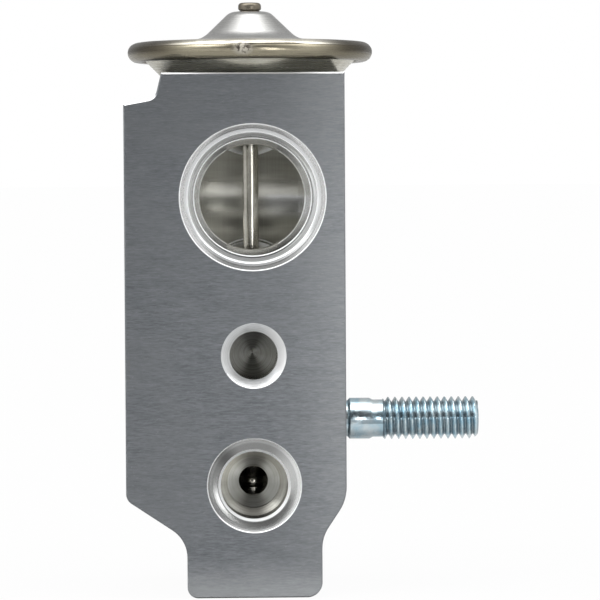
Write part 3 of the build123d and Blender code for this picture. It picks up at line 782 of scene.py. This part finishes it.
def zinc_finish(settings):
    """Bright zinc plate with a cold blue passivation."""
    finish = Finish("zinc_steel", 0.85)
    net = finish.net
    stains, scratches = finish.wear(1.6 * MM, 1.5 * MM)
    crystals = net.noise(finish.point, 3200.0, 3.0, 0.6)
    dark = settings.zinc_dark_and_shade
    colour = net.tint(stains["Patches"], settings.zinc_light, settings.zinc_blue)
    colour = net.tint(net.times(stains["Specks"], 0.35), colour, dark)
    place = net.separate(finish.point)
    height = net.minus(place["Z"], STUD_HEIGHT)
    radius = net.length(0.0, place["Y"], height)
    on_thread = net.maths("GREATER_THAN", place["X"], STUD_THREAD)
    below_crest = settings.crest_radius - 0.12 * MM
    # Painted shade in the thread's roots
    root = net.ramp(radius, settings.root_radius, below_crest, 0.75, 0.0)
    colour = net.tint(net.times(root, on_thread), colour, dark)
    # Painted reflection: a dark band runs along the plain shank above its middle, and its lower
    # half is painted in shade
    band_patches = net.ramp(net.noise(finish.point, 650.0), 0.36, 0.52)
    shank_shade = net.times(net.window(height, *PAINTED_DARK_BAND), band_patches)
    shaded = net.ramp(height, *SHADE, 0.4, 0.12)
    shaded = net.times(shaded, net.maths("LESS_THAN", height, SHADE_TOP))
    on_shank = net.maths("SUBTRACT", 0.72, on_thread, clamp=True)
    shank_shade = net.times(net.largest(shank_shade, shaded), on_shank)
    finish.feed("Base Color", net.tint(shank_shade, colour, dark))
    rough = net.ramp(crystals, 0.35, 0.65, 0.12, 0.24)
    finish.feed("Roughness", net.plus(rough, net.times(scratches, 0.15)))
    finish.relief(crystals, 0.004 * MM)
    return finish


def moulded_finish(name, base, bloom, bloom_share, stain_size, grain, rough, depth):
    """Rubber or plastic with a fine bloom: grain is its noise, rough its two roughnesses."""
    finish = Finish(name, 0.0)
    net = finish.net
    stains = finish.group("Stains", Size=stain_size)
    grain = net.noise(finish.point, *grain)
    finish.feed("Base Color", net.tint(net.times(stains["Patches"], bloom_share), base, bloom))
    finish.feed("Roughness", net.ramp(grain, 0.3, 0.7, *rough))
    finish.relief(grain, depth)
    return finish


# --------------------------------------------------------------------- meshes


def spun_mesh(name, outline, steps, ring=False):
    """Spins (height, radius) points round +Z into a closed mesh object.

    A ring's outline is closed. Any other outline starts and ends on the axis."""
    work = bmesh.new()
    rows = []
    for height, radius in outline:
        if radius < 1e-9:
            rows.append([work.verts.new((0.0, 0.0, height))] * steps)
            continue
        row = []
        for step in range(steps):
            angle = CIRCLE * step / steps
            row.append(work.verts.new((radius * math.cos(angle), radius * math.sin(angle), height)))
        rows.append(row)
    if ring:
        rows.append(rows[0])
    for low, high in zip(rows, rows[1:]):
        for step in range(steps):
            after = (step + 1) % steps
            corners = dict.fromkeys((low[step], low[after], high[after], high[step]))
            work.faces.new(list(corners))
    bmesh.ops.recalc_face_normals(work, faces=work.faces)
    mesh = bpy.data.meshes.new(name)
    work.to_mesh(mesh)
    work.free()
    return placed(name, mesh)


def placed(name, data):
    """A new object in the scene."""
    item = bpy.data.objects.new(name, data)
    bpy.context.scene.collection.objects.link(item)
    return item


def even_points(start, end, count):
    """count points from start up to, and without, end."""
    (first, second), (third, fourth) = start, end
    return [
        (first + (third - first) * index / count, second + (fourth - second) * index / count)
        for index in range(count)
    ]


def add_tree(piece, tree, inputs):
    """Puts a Geometry Nodes tree on a piece, with its inputs set by identifier."""
    modifier = piece.modifiers.new(tree.name, "NODES")
    modifier.node_group = tree
    for item in tree.interface.items_tree:
        if item.item_type == "SOCKET" and item.in_out == "INPUT" and item.name in inputs:
            modifier[item.identifier] = inputs[item.name]


def bake_piece(piece, crease):
    """Turns the evaluated piece into a plain smooth-shaded mesh, sharp above a crease angle."""
    evaluated = piece.evaluated_get(bpy.context.evaluated_depsgraph_get())
    mesh = bpy.data.meshes.new_from_object(evaluated)
    piece.modifiers.clear()
    piece.data = mesh
    mesh.name = piece.name
    mesh.shade_smooth()
    mesh.set_sharp_from_angle(angle=math.radians(crease))


def new_geometry_group(name, inputs):
    """A Geometry Nodes tree that takes a geometry and a material and gives a geometry."""
    inputs = {"Geometry": GEOMETRY, **inputs, "Material": MATERIAL}
    return new_group(name, inputs, {"Geometry": GEOMETRY}, "GeometryNodeTree")


def end_tree(net, given, result, geometry):
    """Makes a tree's geometry real, sets its material and hands it out."""
    real = net.node("GeometryNodeRealizeInstances", {"Geometry": geometry})
    inputs = {"Geometry": real.outputs["Geometry"], "Material": given["Material"]}
    dressed = net.node("GeometryNodeSetMaterial", inputs)
    net.feed(result["Geometry"], dressed.outputs["Geometry"])
    return net.tree


def thread_tree():
    """Cuts a 60 degree helical thread into a round bar that lies along X."""
    profile = {"Crest Radius": 0.003, "Root Radius": 0.0024, "Pitch": 0.001}
    extent = {"Start": 0.0, "End": 0.01, "Axis Height": 0.0}
    net, given, result = new_geometry_group("Thread Cutter", {**profile, **extent})
    crest, pitch, start, end = (given[name] for name in ("Crest Radius", "Pitch", "Start", "End"))
    place = net.separate(net.node("GeometryNodeInputPosition").outputs["Position"])
    rise = net.minus(place["Z"], given["Axis Height"])
    turn = net.ratio(net.maths("ARCTAN2", rise, place["Y"]), CIRCLE)
    ridge = net.helix(place["X"], pitch, turn)
    flank = net.ramp(ridge, 0.1, 0.9, given["Root Radius"], crest, smooth=False)
    # The groove runs out over one pitch at each end
    cut = net.window(place["X"], start, net.plus(start, pitch), net.minus(end, pitch), end)
    radius = net.length(0.0, place["Y"], rise)
    kept = net.maths("MINIMUM", radius, net.blend(cut, crest, flank))
    share = net.ratio(kept, net.largest(radius, 1e-6))
    level = net.plus(net.times(rise, share), given["Axis Height"])
    moved = net.combine(place["X"], net.times(place["Y"], share), level)
    return end_tree(net, given, result, net.moved(given["Geometry"], "Position", moved))


def weld_tree():
    """Ripples a round weld bead inwards in long streaks and sinks its start mark."""
    bead = {"Section Radius": 0.015, "Section Height": 0.0, "Bead Radius": 0.0014}
    ripples = {"Ripple Depth": 0.00005, "Ripple Length": 0.006, "Ripple Height": 0.0004}
    mark = {"Mark": (0, 0, 0), "Mark Size": 0.001, "Mark Depth": 0.0001}
    inputs = {**bead, **ripples, **mark, "Seed": 3}
    net, given, result = new_geometry_group("Weld Ripples", inputs)
    bead_radius = given["Bead Radius"]
    ripple_length = given["Ripple Length"]
    position = net.node("GeometryNodeInputPosition").outputs["Position"]
    normal = net.node("GeometryNodeInputNormal").outputs["Normal"]
    place = net.separate(position)
    out = net.minus(net.length(place["X"], place["Y"], 0.0), given["Section Radius"])
    up = net.minus(place["Z"], given["Section Height"])
    gap = net.size(net.minus(net.length(out, up, 0.0), bead_radius))
    on_bead = net.maths("LESS_THAN", gap, 0.01 * MM)
    roll = net.times(net.maths("ARCTAN2", up, out), bead_radius)
    stretched = net.combine(
        net.ratio(place["X"], ripple_length),
        net.ratio(place["Y"], ripple_length),
        net.ratio(roll, given["Ripple Height"]),
    )
    ripple = net.seeded_noise(stretched, given["Seed"], 1.0, 2.0)
    away = net.vector("SUBTRACT", position, given["Mark"])
    away = net.length(net.vector("MULTIPLY", away, (0.7, 0.3, 1.3)))
    pits = net.seeded_noise(position, given["Seed"], 1500.0, 1.0)
    crater = net.times(
        net.ramp(away, 0.0, given["Mark Size"], 1.0, 0.0),
        net.ramp(pits, 0.35, 0.65, 0.3, 1.0),
        given["Mark Depth"],
    )
    sunk = net.plus(net.times(ripple, given["Ripple Depth"]), crater)
    offset = net.scaled(normal, net.times(sunk, net.times(on_bead, -1.0)))
    return end_tree(net, given, result, net.moved(given["Geometry"], "Offset", offset))


def coil_tree():
    """Winds a wire into a part of a compression spring with flatter, ground ends."""
    coil = {"Mean Radius": 0.0033, "Wire Radius": 0.0004, "Turns": 4.5}
    extent = {"Bottom": 0.0, "Top": 0.006, "First": 0.0, "Last": 1.0}
    net, given, result = new_geometry_group("Ground Spring", {**coil, **extent, "Steps": 200})
    line = net.node("GeometryNodeMeshLine", {"Count": given["Steps"]})
    index = net.node("GeometryNodeInputIndex").outputs["Index"]
    along = net.ratio(index, net.minus(given["Steps"], 1.0))
    share = net.blend(along, given["First"], given["Last"])
    angle = net.times(share, given["Turns"], CIRCLE)
    # The first and last 0.45 of a turn lie flatter, and the turns between take up the height
    flat = net.times(net.ratio(0.9, given["Turns"]), 0.5)
    lift = net.ramp(share, flat, net.minus(1.0, flat), smooth=False)
    lift = net.blend(0.35, lift, net.ramp(share, 0.0, 1.0))
    ground = net.times(given["Wire Radius"], 0.6)
    low = net.plus(given["Bottom"], ground)
    high = net.minus(given["Top"], ground)
    path = net.combine(
        net.times(net.maths("COSINE", angle), given["Mean Radius"]),
        net.times(net.maths("SINE", angle), given["Mean Radius"]),
        net.blend(lift, low, high),
    )
    wound = net.moved(line.outputs["Mesh"], "Position", path)
    wire = net.node("GeometryNodeMeshToCurve", {"Mesh": wound})
    round_wire = {"Resolution": 20, "Radius": given["Wire Radius"]}
    section = net.node("GeometryNodeCurvePrimitiveCircle", round_wire)
    curves = {"Curve": wire.outputs["Curve"], "Profile Curve": section.outputs["Curve"]}
    drawn = net.node("GeometryNodeCurveToMesh", {**curves, "Fill Caps": True})
    place = net.separate(net.node("GeometryNodeInputPosition").outputs["Position"])
    kept = net.maths("MINIMUM", net.largest(place["Z"], given["Bottom"]), given["Top"])
    kept = net.combine(place["X"], place["Y"], kept)
    return end_tree(net, given, result, net.moved(drawn.outputs["Mesh"], "Position", kept))


# ------------------------------------------------------------------- settings


def number(name, description, default, **more):
    return bpy.props.FloatProperty(name=name, description=description, default=default, **more)


def length(name, description, millimetres):
    return number(name, description, millimetres * MM, unit="LENGTH", precision=5)


def triple(name, description, default, **more):
    return bpy.props.FloatVectorProperty(
        name=name, description=description, default=default, **more
    )


def colour(name, description, *shares):
    return triple(name, description, shares, subtype="COLOR", min=0.0, max=1.0)


def point(name, description, *place):
    return triple(name, description, place, subtype="TRANSLATION", unit="LENGTH", precision=5)


class BlockSettings(bpy.types.PropertyGroup):
    streak_length: length("Streak length", "Length of a brushed streak", 1.05)
    streak_height: length("Streak height", "Height of a brushed streak", 0.15)
    die_line_length: length("Die line length", "Length of an extrusion line", 30.0)
    die_line_width: length("Die line width", "Width of an extrusion line", 0.25)
    band_length: length("Band length", "Length of a light band in a bore", 14.0)
    band_height: length("Band height", "Height of a light band in a bore", 0.9)
    ring_spacing: length("Ring spacing", "Spacing of the turned rings", 0.12)
    stain_size: length("Stain size", "Size of a soft stain", 9.0)
    fixing_pitch: length("Fixing pitch", "Pitch of the tapped fixing hole", 1.25)
    face_dark: colour("Face, dark", "Dark streaks of the brushed face", 0.128, 0.138, 0.15)
    face_light: colour("Face, light", "Light streaks of the brushed face", 0.261, 0.275, 0.291)
    face_stain: colour("Face, stained", "Stains on the brushed face", 0.22, 0.23, 0.24)
    cut_colour: colour("Cut metal", "Freshly turned aluminium", 0.86, 0.875, 0.88)
    ledge_colour: colour("Ledge", "Level ledges and walls of a mouth", 0.41, 0.415, 0.41)
    # Colour of the painted shade on level floors inside a mouth
    recess_shade_colour: colour("Recess", "Level floors inside a mouth", 0.16, 0.163, 0.16)
    # Colour of the burnished edges, also used for painted highlights and for the rod's painted
    # light
    edge_and_highlight_colour: colour("Broken edge", "Burnished edges of the outline", 0.97, 0.98, 0.98)
    bore_colour: colour("Oiled bore", "Oil-darkened wall deep in a bore", 0.76, 0.755, 0.7)
    bore_dark: colour("Oiled bore, dark", "Dark rings deep in a bore", 0.35, 0.345, 0.305)
    # Colour of the painted shade deep in the small bores
    bore_shadow: colour("Oiled bore, shadow", "Soot in the small bores", 0.03, 0.027, 0.022)
    oil_edge: length("Oil edge", "Length over which the bores turn oily", 0.6)
    bore_metallic: number("Bore metallic", "Metallic value of the turned walls", 0.85)


class HeadSettings(bpy.types.PropertyGroup):
    tint_length: length("Tint length", "Length of a heat tint streak", 9.0)
    tint_height: length("Tint height", "Height of a heat tint streak", 0.28)
    ripple_depth: length("Ripple depth", "Depth of the weld ripples", 0.07)
    seam_height: length("Seam height", "Height of the dark seam above the foot", 76.13)
    mark_offset: length("Mark offset", "Where the weld starts, along X", -1.3)
    mark_size: length("Mark size", "Reach of the weld's start mark", 1.9)
    mark_depth: length("Mark depth", "Depth of the weld's start mark", 0.16)
    seed: bpy.props.IntProperty(name="Seed", description="Seed of the weld ripples", default=3)
    shell_colour: colour("Shell", "Spun stainless steel", 0.62, 0.62, 0.61)
    shell_dull: colour("Shell, dull", "Dull patches of the shells", 0.42, 0.415, 0.4)
    # Colours of the lower shell: partly heat tint, partly painted shade
    under_tint_and_shade: colour("Lower shell", "Heat-tinted lower shell", 0.7, 0.68, 0.6)
    under_dull_and_shade: colour("Lower shell, dull", "Dark tint of the lower shell", 0.34, 0.32, 0.25)
    plug_colour: colour("Plug", "Steel of the charge plug", 0.27, 0.245, 0.2)
    plug_dull: colour("Plug, dull", "Brownish bands of the plug", 0.11, 0.092, 0.068)
    weld_steel: colour("Weld, bare", "Bare steel on top of the rim", 0.78, 0.75, 0.66)
    weld_straw: colour("Weld, straw", "Straw heat tint", 0.38, 0.345, 0.255)
    weld_olive: colour("Weld, olive", "Olive heat tint", 0.3, 0.272, 0.2)
    weld_brown: colour("Weld, brown", "Brown heat tint", 0.045, 0.037, 0.025)
    weld_scale: colour("Weld, scale", "Pale scale at the start mark", 0.7, 0.68, 0.62)
    weld_pit: colour("Weld, pits", "Dark pits at the start mark", 0.06, 0.05, 0.04)


class StudSettings(bpy.types.PropertyGroup):
    crest_radius: length("Crest radius", "Radius of the thread's crests", 3.0)
    root_radius: length("Root radius", "Radius of the thread's roots", 2.33)
    pitch: length("Pitch", "Pitch of the thread", 1.0)
    zinc_light: colour("Zinc, light", "Bright zinc plate", 0.74, 0.83, 0.86)
    zinc_blue: colour("Zinc, blue", "Blue passivated zinc", 0.5, 0.69, 0.79)
    # Dark zinc of the specks, also the colour of the painted shade in the thread's roots and on the
    # shank
    zinc_dark_and_shade: colour("Zinc, dark", "Zinc in the thread's roots", 0.16, 0.21, 0.24)


class TrainSettings(bpy.types.PropertyGroup):
    wire_radius: length("Wire radius", "Radius of the spring wire", 0.4)
    mean_radius: length("Mean radius", "Radius of the spring's centre line", 3.3)
    turns: number("Turns", "Turns of the spring", 4.5)
    steel_colour: colour("Steel", "Ground steel of the rod and ball", 0.5, 0.485, 0.44)
    steel_dull: colour("Steel, dull", "Dull bands of the ground steel", 0.34, 0.33, 0.29)
    spring_colour: colour("Spring steel", "Drawn spring wire", 0.5, 0.5, 0.49)
    spring_dull: colour("Spring, dull", "Dull bands of the wire", 0.32, 0.32, 0.31)
    brass_colour: colour("Brass", "Turned brass of the screw", 0.78, 0.6, 0.3)
    brass_dull: colour("Brass, dull", "Tarnished brass", 0.5, 0.37, 0.17)


class SealSettings(bpy.types.PropertyGroup):
    rubber_colour: colour("Rubber", "Seal rubber", 0.02, 0.022, 0.022)
    rubber_bloom: colour("Rubber bloom", "Bloom on the rubber", 0.06, 0.065, 0.06)
    rubber_sheen: number("Rubber sheen", "Weight of the oily coat on the rubber", 0.2)
    plastic_colour: colour("Plastic", "White sliding plastic", 0.82, 0.81, 0.76)
    plastic_shade: colour("Plastic, shade", "Shaded plastic", 0.66, 0.65, 0.6)


class StageSettings(bpy.types.PropertyGroup):
    eye: point("Camera place", "Where the camera stands", -0.0093, -0.486, 0.0574)
    aim: point("Camera aim", "The point at the middle of the picture", 0.0064, -0.014, 0.0410)
    roll: number(
        "Camera roll", "Turn of the camera about its view", math.radians(-0.34), subtype="ANGLE"
    )
    lens: number("Lens", "Focal length in millimetres", 206.5, min=1.0)
    key_power: number("Key light", "Power of the large soft box", 2.0, unit="POWER")
    fill_power: number("Fill light", "Power of the low soft box", 0.26, unit="POWER")
    room_light: number("Room light", "Brightness of the studio round the part", 1.0)
    lens_side: number("Lens side", "Share of the room light behind the camera", 0.06)
    far_side: number("Far side", "Share of the room light behind the part", 0.45)
    panel_light: number("Panel light", "Share of the room light above and before the part", 3.2)
    floor_colour: colour("Floor", "Colour of the floor", 0.5, 0.5, 0.5)


class ExpansionValveSettings(bpy.types.PropertyGroup):
    block: bpy.props.PointerProperty(type=BlockSettings)
    head: bpy.props.PointerProperty(type=HeadSettings)
    stud: bpy.props.PointerProperty(type=StudSettings)
    train: bpy.props.PointerProperty(type=TrainSettings)
    seals: bpy.props.PointerProperty(type=SealSettings)
    stage: bpy.props.PointerProperty(type=StageSettings)


# ------------------------------------------------------------------ operators


class EXPANSIONVALVE_OT_block(bpy.types.Operator):
    """Finishes the aluminium block: brushed faces, turned ports and tapped hole"""

    bl_idname = "expansion_valve.block"
    bl_label = "Finish Block"

    def execute(self, context):
        block_finish(context.scene.expansion_valve.block).dress("valve_block")
        return {"FINISHED"}


class EXPANSIONVALVE_OT_head(bpy.types.Operator):
    """Finishes the power head and lays its rippled weld bead round the rim"""

    bl_idname = "expansion_valve.head"
    bl_label = "Build Power Head"

    def execute(self, context):
        settings = context.scene.expansion_valve.head
        shell = (settings.shell_colour, settings.shell_dull)
        # The lower shell takes darker, olive colours: partly heat tint, partly painted shade
        under = (settings.under_tint_and_shade, settings.under_dull_and_shade)
        stainless_finish("head_stainless", *shell).dress("upper_shell")
        stainless_finish("tinted_and_shaded_stainless", *under, 0.85).dress("lower_shell")
        plug = turned_steel("plug_steel", settings.plug_colour, settings.plug_dull, 0.3)
        plug.dress("charge_plug")

        # The bead's round section, bitten out where the two flanges lie inside it
        flange_bottom = 74.39 * MM
        flange_top = 76.49 * MM
        flange_radius = 16.23 * MM
        inner_radius = 15.2 * MM
        bead_radius = (WELD_HIGH.z - WELD_LOW.z) / 2
        section_radius = WELD_HIGH.y - bead_radius
        section_height = (flange_bottom + flange_top) / 2
        bite = math.acos((inner_radius - section_radius) / bead_radius)
        arc_steps = 56
        outline = []
        for step in range(arc_steps + 1):
            angle = -bite + 2 * bite * step / arc_steps
            height = section_height + bead_radius * math.sin(angle)
            outline.append((height, section_radius + bead_radius * math.cos(angle)))
        outline += [
            (flange_top, inner_radius),
            (flange_top, flange_radius),
            (flange_bottom, flange_radius),
            (flange_bottom, inner_radius),
        ]
        weld = spun_mesh("weld_bead", outline, 480, ring=True)
        ripples = {
            "Section Radius": section_radius,
            "Section Height": section_height,
            "Bead Radius": bead_radius,
            "Ripple Depth": settings.ripple_depth,
            "Mark": (settings.mark_offset, WELD_LOW.y, section_height),
            "Mark Size": settings.mark_size,
            "Mark Depth": settings.mark_depth,
            "Seed": settings.seed,
            "Material": weld_finish(settings).material,
        }
        add_tree(weld, weld_tree(), ripples)
        bake_piece(weld, 40)
        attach(weld, "block")
        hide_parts("rim_weld")
        return {"FINISHED"}


def stud_outline(settings, thread_start):
    """Outline of the turned stud, in rows fine enough for its threads."""
    tip = STUD_HIGH.x
    root = STUD_LOW.x
    crest = settings.crest_radius
    chamfer = 0.6 * MM
    neck_radius = 2.64 * MM
    shank_radius = 2.9 * MM
    groove_radius = 2.55 * MM
    root_middle = 0.9 * MM
    tip_middle = 1.2 * MM
    shank_start = RIGHT_FACE + 1.1 * MM
    shank_end = shank_start + 2.75 * MM
    neck_start = shank_end + 0.52 * MM
    rise_end = thread_start + crest - neck_radius
    groove_start = RIGHT_FACE - (crest - groove_radius)
    groove_end = RIGHT_FACE + 0.75 * MM
    row_length = settings.pitch / 22
    runs = (
        ((root, 2 * root_middle), (root, crest - chamfer), 4),
        ((root, crest - chamfer), (root + chamfer, crest), 10),
        ((root + chamfer, crest), (groove_start, crest), None),
        ((groove_start, crest), (RIGHT_FACE, groove_radius), 8),
        ((RIGHT_FACE, groove_radius), (groove_end, groove_radius), 1),
        ((groove_end, groove_radius), (shank_start, shank_radius), 1),
        ((shank_start, shank_radius), (shank_end, shank_radius), 1),
        ((shank_end, shank_radius), (neck_start, neck_radius), 1),
        ((neck_start, neck_radius), (thread_start, neck_radius), 1),
        ((thread_start, neck_radius), (rise_end, crest), 8),
        ((rise_end, crest), (tip - chamfer, crest), None),
        ((tip - chamfer, crest), (tip, crest - chamfer), 10),
    )
    outline = [(root, 0.0), (root, root_middle)]
    for start, end, count in runs:
        outline += even_points(start, end, count or round((end[0] - start[0]) / row_length))
    return outline + [(tip, crest - chamfer), (tip, tip_middle), (tip, 0.0)]


class EXPANSIONVALVE_OT_stud(bpy.types.Operator):
    """Turns the mounting stud and cuts both its threads"""

    bl_idname = "expansion_valve.stud"
    bl_label = "Build Mounting Stud"

    def execute(self, context):
        settings = context.scene.expansion_valve.stud
        thread_start = STUD_HIGH.x - 13.5 * MM
        run_out = 1.2 * MM
        stud = spun_mesh("threaded_stud", stud_outline(settings, thread_start), 96)
        for vertex in stud.data.vertices:
            upright = vertex.co.copy()
            vertex.co = (upright.z, upright.x, upright.y + STUD_HEIGHT)
        cuts = {
            "Crest Radius": settings.crest_radius,
            "Root Radius": settings.root_radius,
            "Pitch": settings.pitch,
            "Axis Height": STUD_HEIGHT,
            "Material": zinc_finish(settings).material,
        }
        cutter = thread_tree()
        outer = {"Start": thread_start - 0.4 * MM, "End": STUD_HIGH.x + run_out}
        inner = {"Start": STUD_LOW.x - run_out, "End": RIGHT_FACE}
        for thread in (outer, inner):
            add_tree(stud, cutter, {**cuts, **thread})
        bake_piece(stud, 38)
        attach(stud, "block")
        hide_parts("mounting_stud")
        return {"FINISHED"}


class EXPANSIONVALVE_OT_train(bpy.types.Operator):
    """Finishes the rod, ball, carrier, seat and screw, and winds the spring"""

    bl_idname = "expansion_valve.train"
    bl_label = "Build Valve Train"

    def execute(self, context):
        settings = context.scene.expansion_valve.train
        steel = (settings.steel_colour, settings.steel_dull)
        strip = (settings.spring_colour, settings.spring_dull)
        brass = (settings.brass_colour, settings.brass_dull)
        ground = turned_steel("polished_steel", *steel, 0.18)
        ground.dress("actuating_rod", "ball", "ball_carrier", "thrust_pad", "seat_insert")
        sprung = turned_steel("spring_steel", *strip, 0.25)
        sprung.dress("damping_clip", "seal_retainer", "diaphragm")
        turned_steel("screw_brass", *brass, 0.22).dress("adjusting_screw")

        # The spring is wound in a lower and an upper half
        middle = (SPRING_LOW.z + SPRING_HIGH.z) / 2
        winding = {
            "Mean Radius": settings.mean_radius,
            "Wire Radius": settings.wire_radius,
            "Turns": settings.turns,
            "Bottom": SPRING_LOW.z,
            "Top": SPRING_HIGH.z,
            "Material": sprung.material,
        }
        coil = coil_tree()
        for name, first, last, bodies, start, end in (
            ("lower_coil", 0.0, 0.5, ("screw_ring", "block"), SPRING_LOW.z, middle),
            ("upper_coil", 0.5, 1.0, ("block", "valve_train"), middle, SPRING_HIGH.z),
        ):
            spring = placed(name, bpy.data.meshes.new(name))
            add_tree(spring, coil, {**winding, "First": first, "Last": last})
            bake_piece(spring, 50)
            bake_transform(spring)
            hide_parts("spring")
        return {"FINISHED"}


class EXPANSIONVALVE_OT_seals(bpy.types.Operator):
    """Finishes the rubber rings and the plastic washer"""

    bl_idname = "expansion_valve.seals"
    bl_label = "Finish Seals"

    def execute(self, context):
        settings = context.scene.expansion_valve.seals
        rubber = moulded_finish(
            "seal_rubber",
            settings.rubber_colour,
            settings.rubber_bloom,
            0.6,
            stain_size=1.5 * MM,
            grain=(6000.0, 3.0, 0.6),
            rough=(0.35, 0.6),
            depth=0.01 * MM,
        )
        rubber.feed("Coat Weight", settings.rubber_sheen)
        rubber.dress("head_seal", "rod_seal", "screw_seal")
        plastic = moulded_finish(
            "white_plastic",
            settings.plastic_colour,
            settings.plastic_shade,
            0.5,
            stain_size=1.2 * MM,
            grain=(4000.0, 2.0, 0.5),
            rough=(0.32, 0.5),
            depth=0.006 * MM,
        )
        plastic.dress("seal_washer")
        return {"FINISHED"}


def soft_box(name, place, aim, width, power):
    """A large soft lamp that looks at a point."""
    lamp = bpy.data.lights.new(name, "AREA")
    lamp.size = width
    lamp.energy = power
    box = placed(name, lamp)
    box.location = place
    box.rotation_euler = (Vector(aim) - Vector(place)).to_track_quat("-Z", "Y").to_euler()


class EXPANSIONVALVE_OT_stage(bpy.types.Operator):
    """Sets up the floor, the studio light and the camera"""

    bl_idname = "expansion_valve.stage"
    bl_label = "Set Stage"

    def execute(self, context):
        settings = context.scene.expansion_valve.stage
        scene = context.scene

        # Pale floor that keeps a faint shadow
        half = 40.0
        corners = [(-half, -half, 0), (half, -half, 0), (half, half, 0), (-half, half, 0)]
        mesh = bpy.data.meshes.new("floor")
        mesh.from_pydata(corners, [], [(0, 1, 2, 3)])
        floor = placed("floor", mesh)
        finish = Finish("floor", 0.0, 0.9)
        net = finish.net
        finish.feed("Base Color", settings.floor_colour)
        path = net.node("ShaderNodeLightPath").outputs
        glow = net.node("ShaderNodeEmission", {"Color": (1, 1, 1), "Strength": 1.0})
        mixed = net.node("ShaderNodeMixShader", {"Fac": net.times(path["Is Camera Ray"], 0.96)})
        net.feed(mixed.inputs[1], finish.shader.outputs["BSDF"])
        net.feed(mixed.inputs[2], glow.outputs["Emission"])
        net.feed(net.tree.nodes["Material Output"].inputs["Surface"], mixed.outputs["Shader"])
        mesh.materials.append(finish.material)

        # White studio, dimmer behind the camera, as on the photographer's side, and brighter
        # in a panel that stands above and before the part
        to_camera = (-0.02, -0.99, 0.1)
        up_front = (0.0, -0.31, 0.95)
        world = bpy.data.worlds.new("studio")
        world.use_nodes = True
        scene.world = world
        net = Wiring(world.node_tree)
        direction = net.node("ShaderNodeTexCoord").outputs["Generated"]
        to_lens = net.dot(direction, to_camera)
        lens_side = net.ramp(to_lens, 0.5, 0.9, 1.0, settings.lens_side)
        behind = net.ramp(net.separate(direction)["Y"], 0.1, 0.6, 1.0, settings.far_side)
        across = net.vector("NORMALIZE", net.vector("MULTIPLY", direction, (0.0, 1.0, 1.0)))
        width = net.size(net.separate(direction)["X"])
        panel = net.times(
            net.ramp(net.dot(across, up_front), 0.82, 0.95),
            net.ramp(width, 0.7, 0.9, 1.0, 0.0),
        )
        panel = net.blend(panel, 1.0, settings.panel_light)
        strength = net.times(lens_side, behind, panel, settings.room_light)
        path = net.node("ShaderNodeLightPath").outputs
        background = world.node_tree.nodes["Background"]
        net.feed(background.inputs["Color"], (1, 1, 1))
        net.feed(background.inputs["Strength"], net.blend(path["Is Camera Ray"], strength, 1.0))

        for name, place, aim, width, power in (
            ("key_light", (-0.55, -0.5, 0.75), (0, 0, 0.04), 0.5, settings.key_power),
            ("fill_light", (0.14, -0.4, 0.03), (0, 0, 0.02), 0.1, settings.fill_power),
        ):
            soft_box(name, place, aim, width, power)

        camera_data = bpy.data.cameras.new("camera")
        camera_data.lens = settings.lens
        camera_data.sensor_width = 36.0
        camera_data.clip_start = 0.01
        camera_data.clip_end = 100.0
        camera = placed("camera", camera_data)
        camera.location = settings.eye
        view = Vector(settings.aim) - Vector(settings.eye)
        turn = view.to_track_quat("-Z", "Y") @ Quaternion((0, 0, 1), settings.roll)
        camera.rotation_euler = turn.to_euler()
        scene.camera = camera
        scene.view_settings.view_transform = "Standard"
        return {"FINISHED"}


class EXPANSIONVALVE_PT_panel(bpy.types.Panel):
    """Lists the pieces of the expansion valve"""

    bl_idname = "EXPANSIONVALVE_PT_panel"
    bl_label = "Expansion Valve"
    bl_space_type = "VIEW_3D"
    bl_region_type = "UI"
    bl_category = "Expansion Valve"

    def draw(self, context):
        settings = context.scene.expansion_valve
        for operator, group in PANEL_ROWS:
            box = self.layout.box()
            box.operator(operator.bl_idname)
            values = getattr(settings, group)
            for name in values.bl_rna.properties.keys():
                if name not in ("rna_type", "name"):
                    box.prop(values, name)


PANEL_ROWS = (
    (EXPANSIONVALVE_OT_block, "block"),
    (EXPANSIONVALVE_OT_head, "head"),
    (EXPANSIONVALVE_OT_stud, "stud"),
    (EXPANSIONVALVE_OT_train, "train"),
    (EXPANSIONVALVE_OT_seals, "seals"),
    (EXPANSIONVALVE_OT_stage, "stage"),
)

CLASSES = (
    BlockSettings,
    HeadSettings,
    StudSettings,
    TrainSettings,
    SealSettings,
    StageSettings,
    ExpansionValveSettings,
    *(operator for operator, group in PANEL_ROWS),
    EXPANSIONVALVE_PT_panel,
)


def register():
    for item in CLASSES:
        bpy.utils.register_class(item)
    bpy.types.Scene.expansion_valve = bpy.props.PointerProperty(type=ExpansionValveSettings)


def unregister():
    del bpy.types.Scene.expansion_valve
    for item in reversed(CLASSES):
        bpy.utils.unregister_class(item)


def main():
    register()
    bpy.ops.expansion_valve.block()
    bpy.ops.expansion_valve.head()
    bpy.ops.expansion_valve.stud()
    bpy.ops.expansion_valve.train()
    bpy.ops.expansion_valve.seals()
    bpy.ops.expansion_valve.stage()


if __name__ == "__main__":
    main()
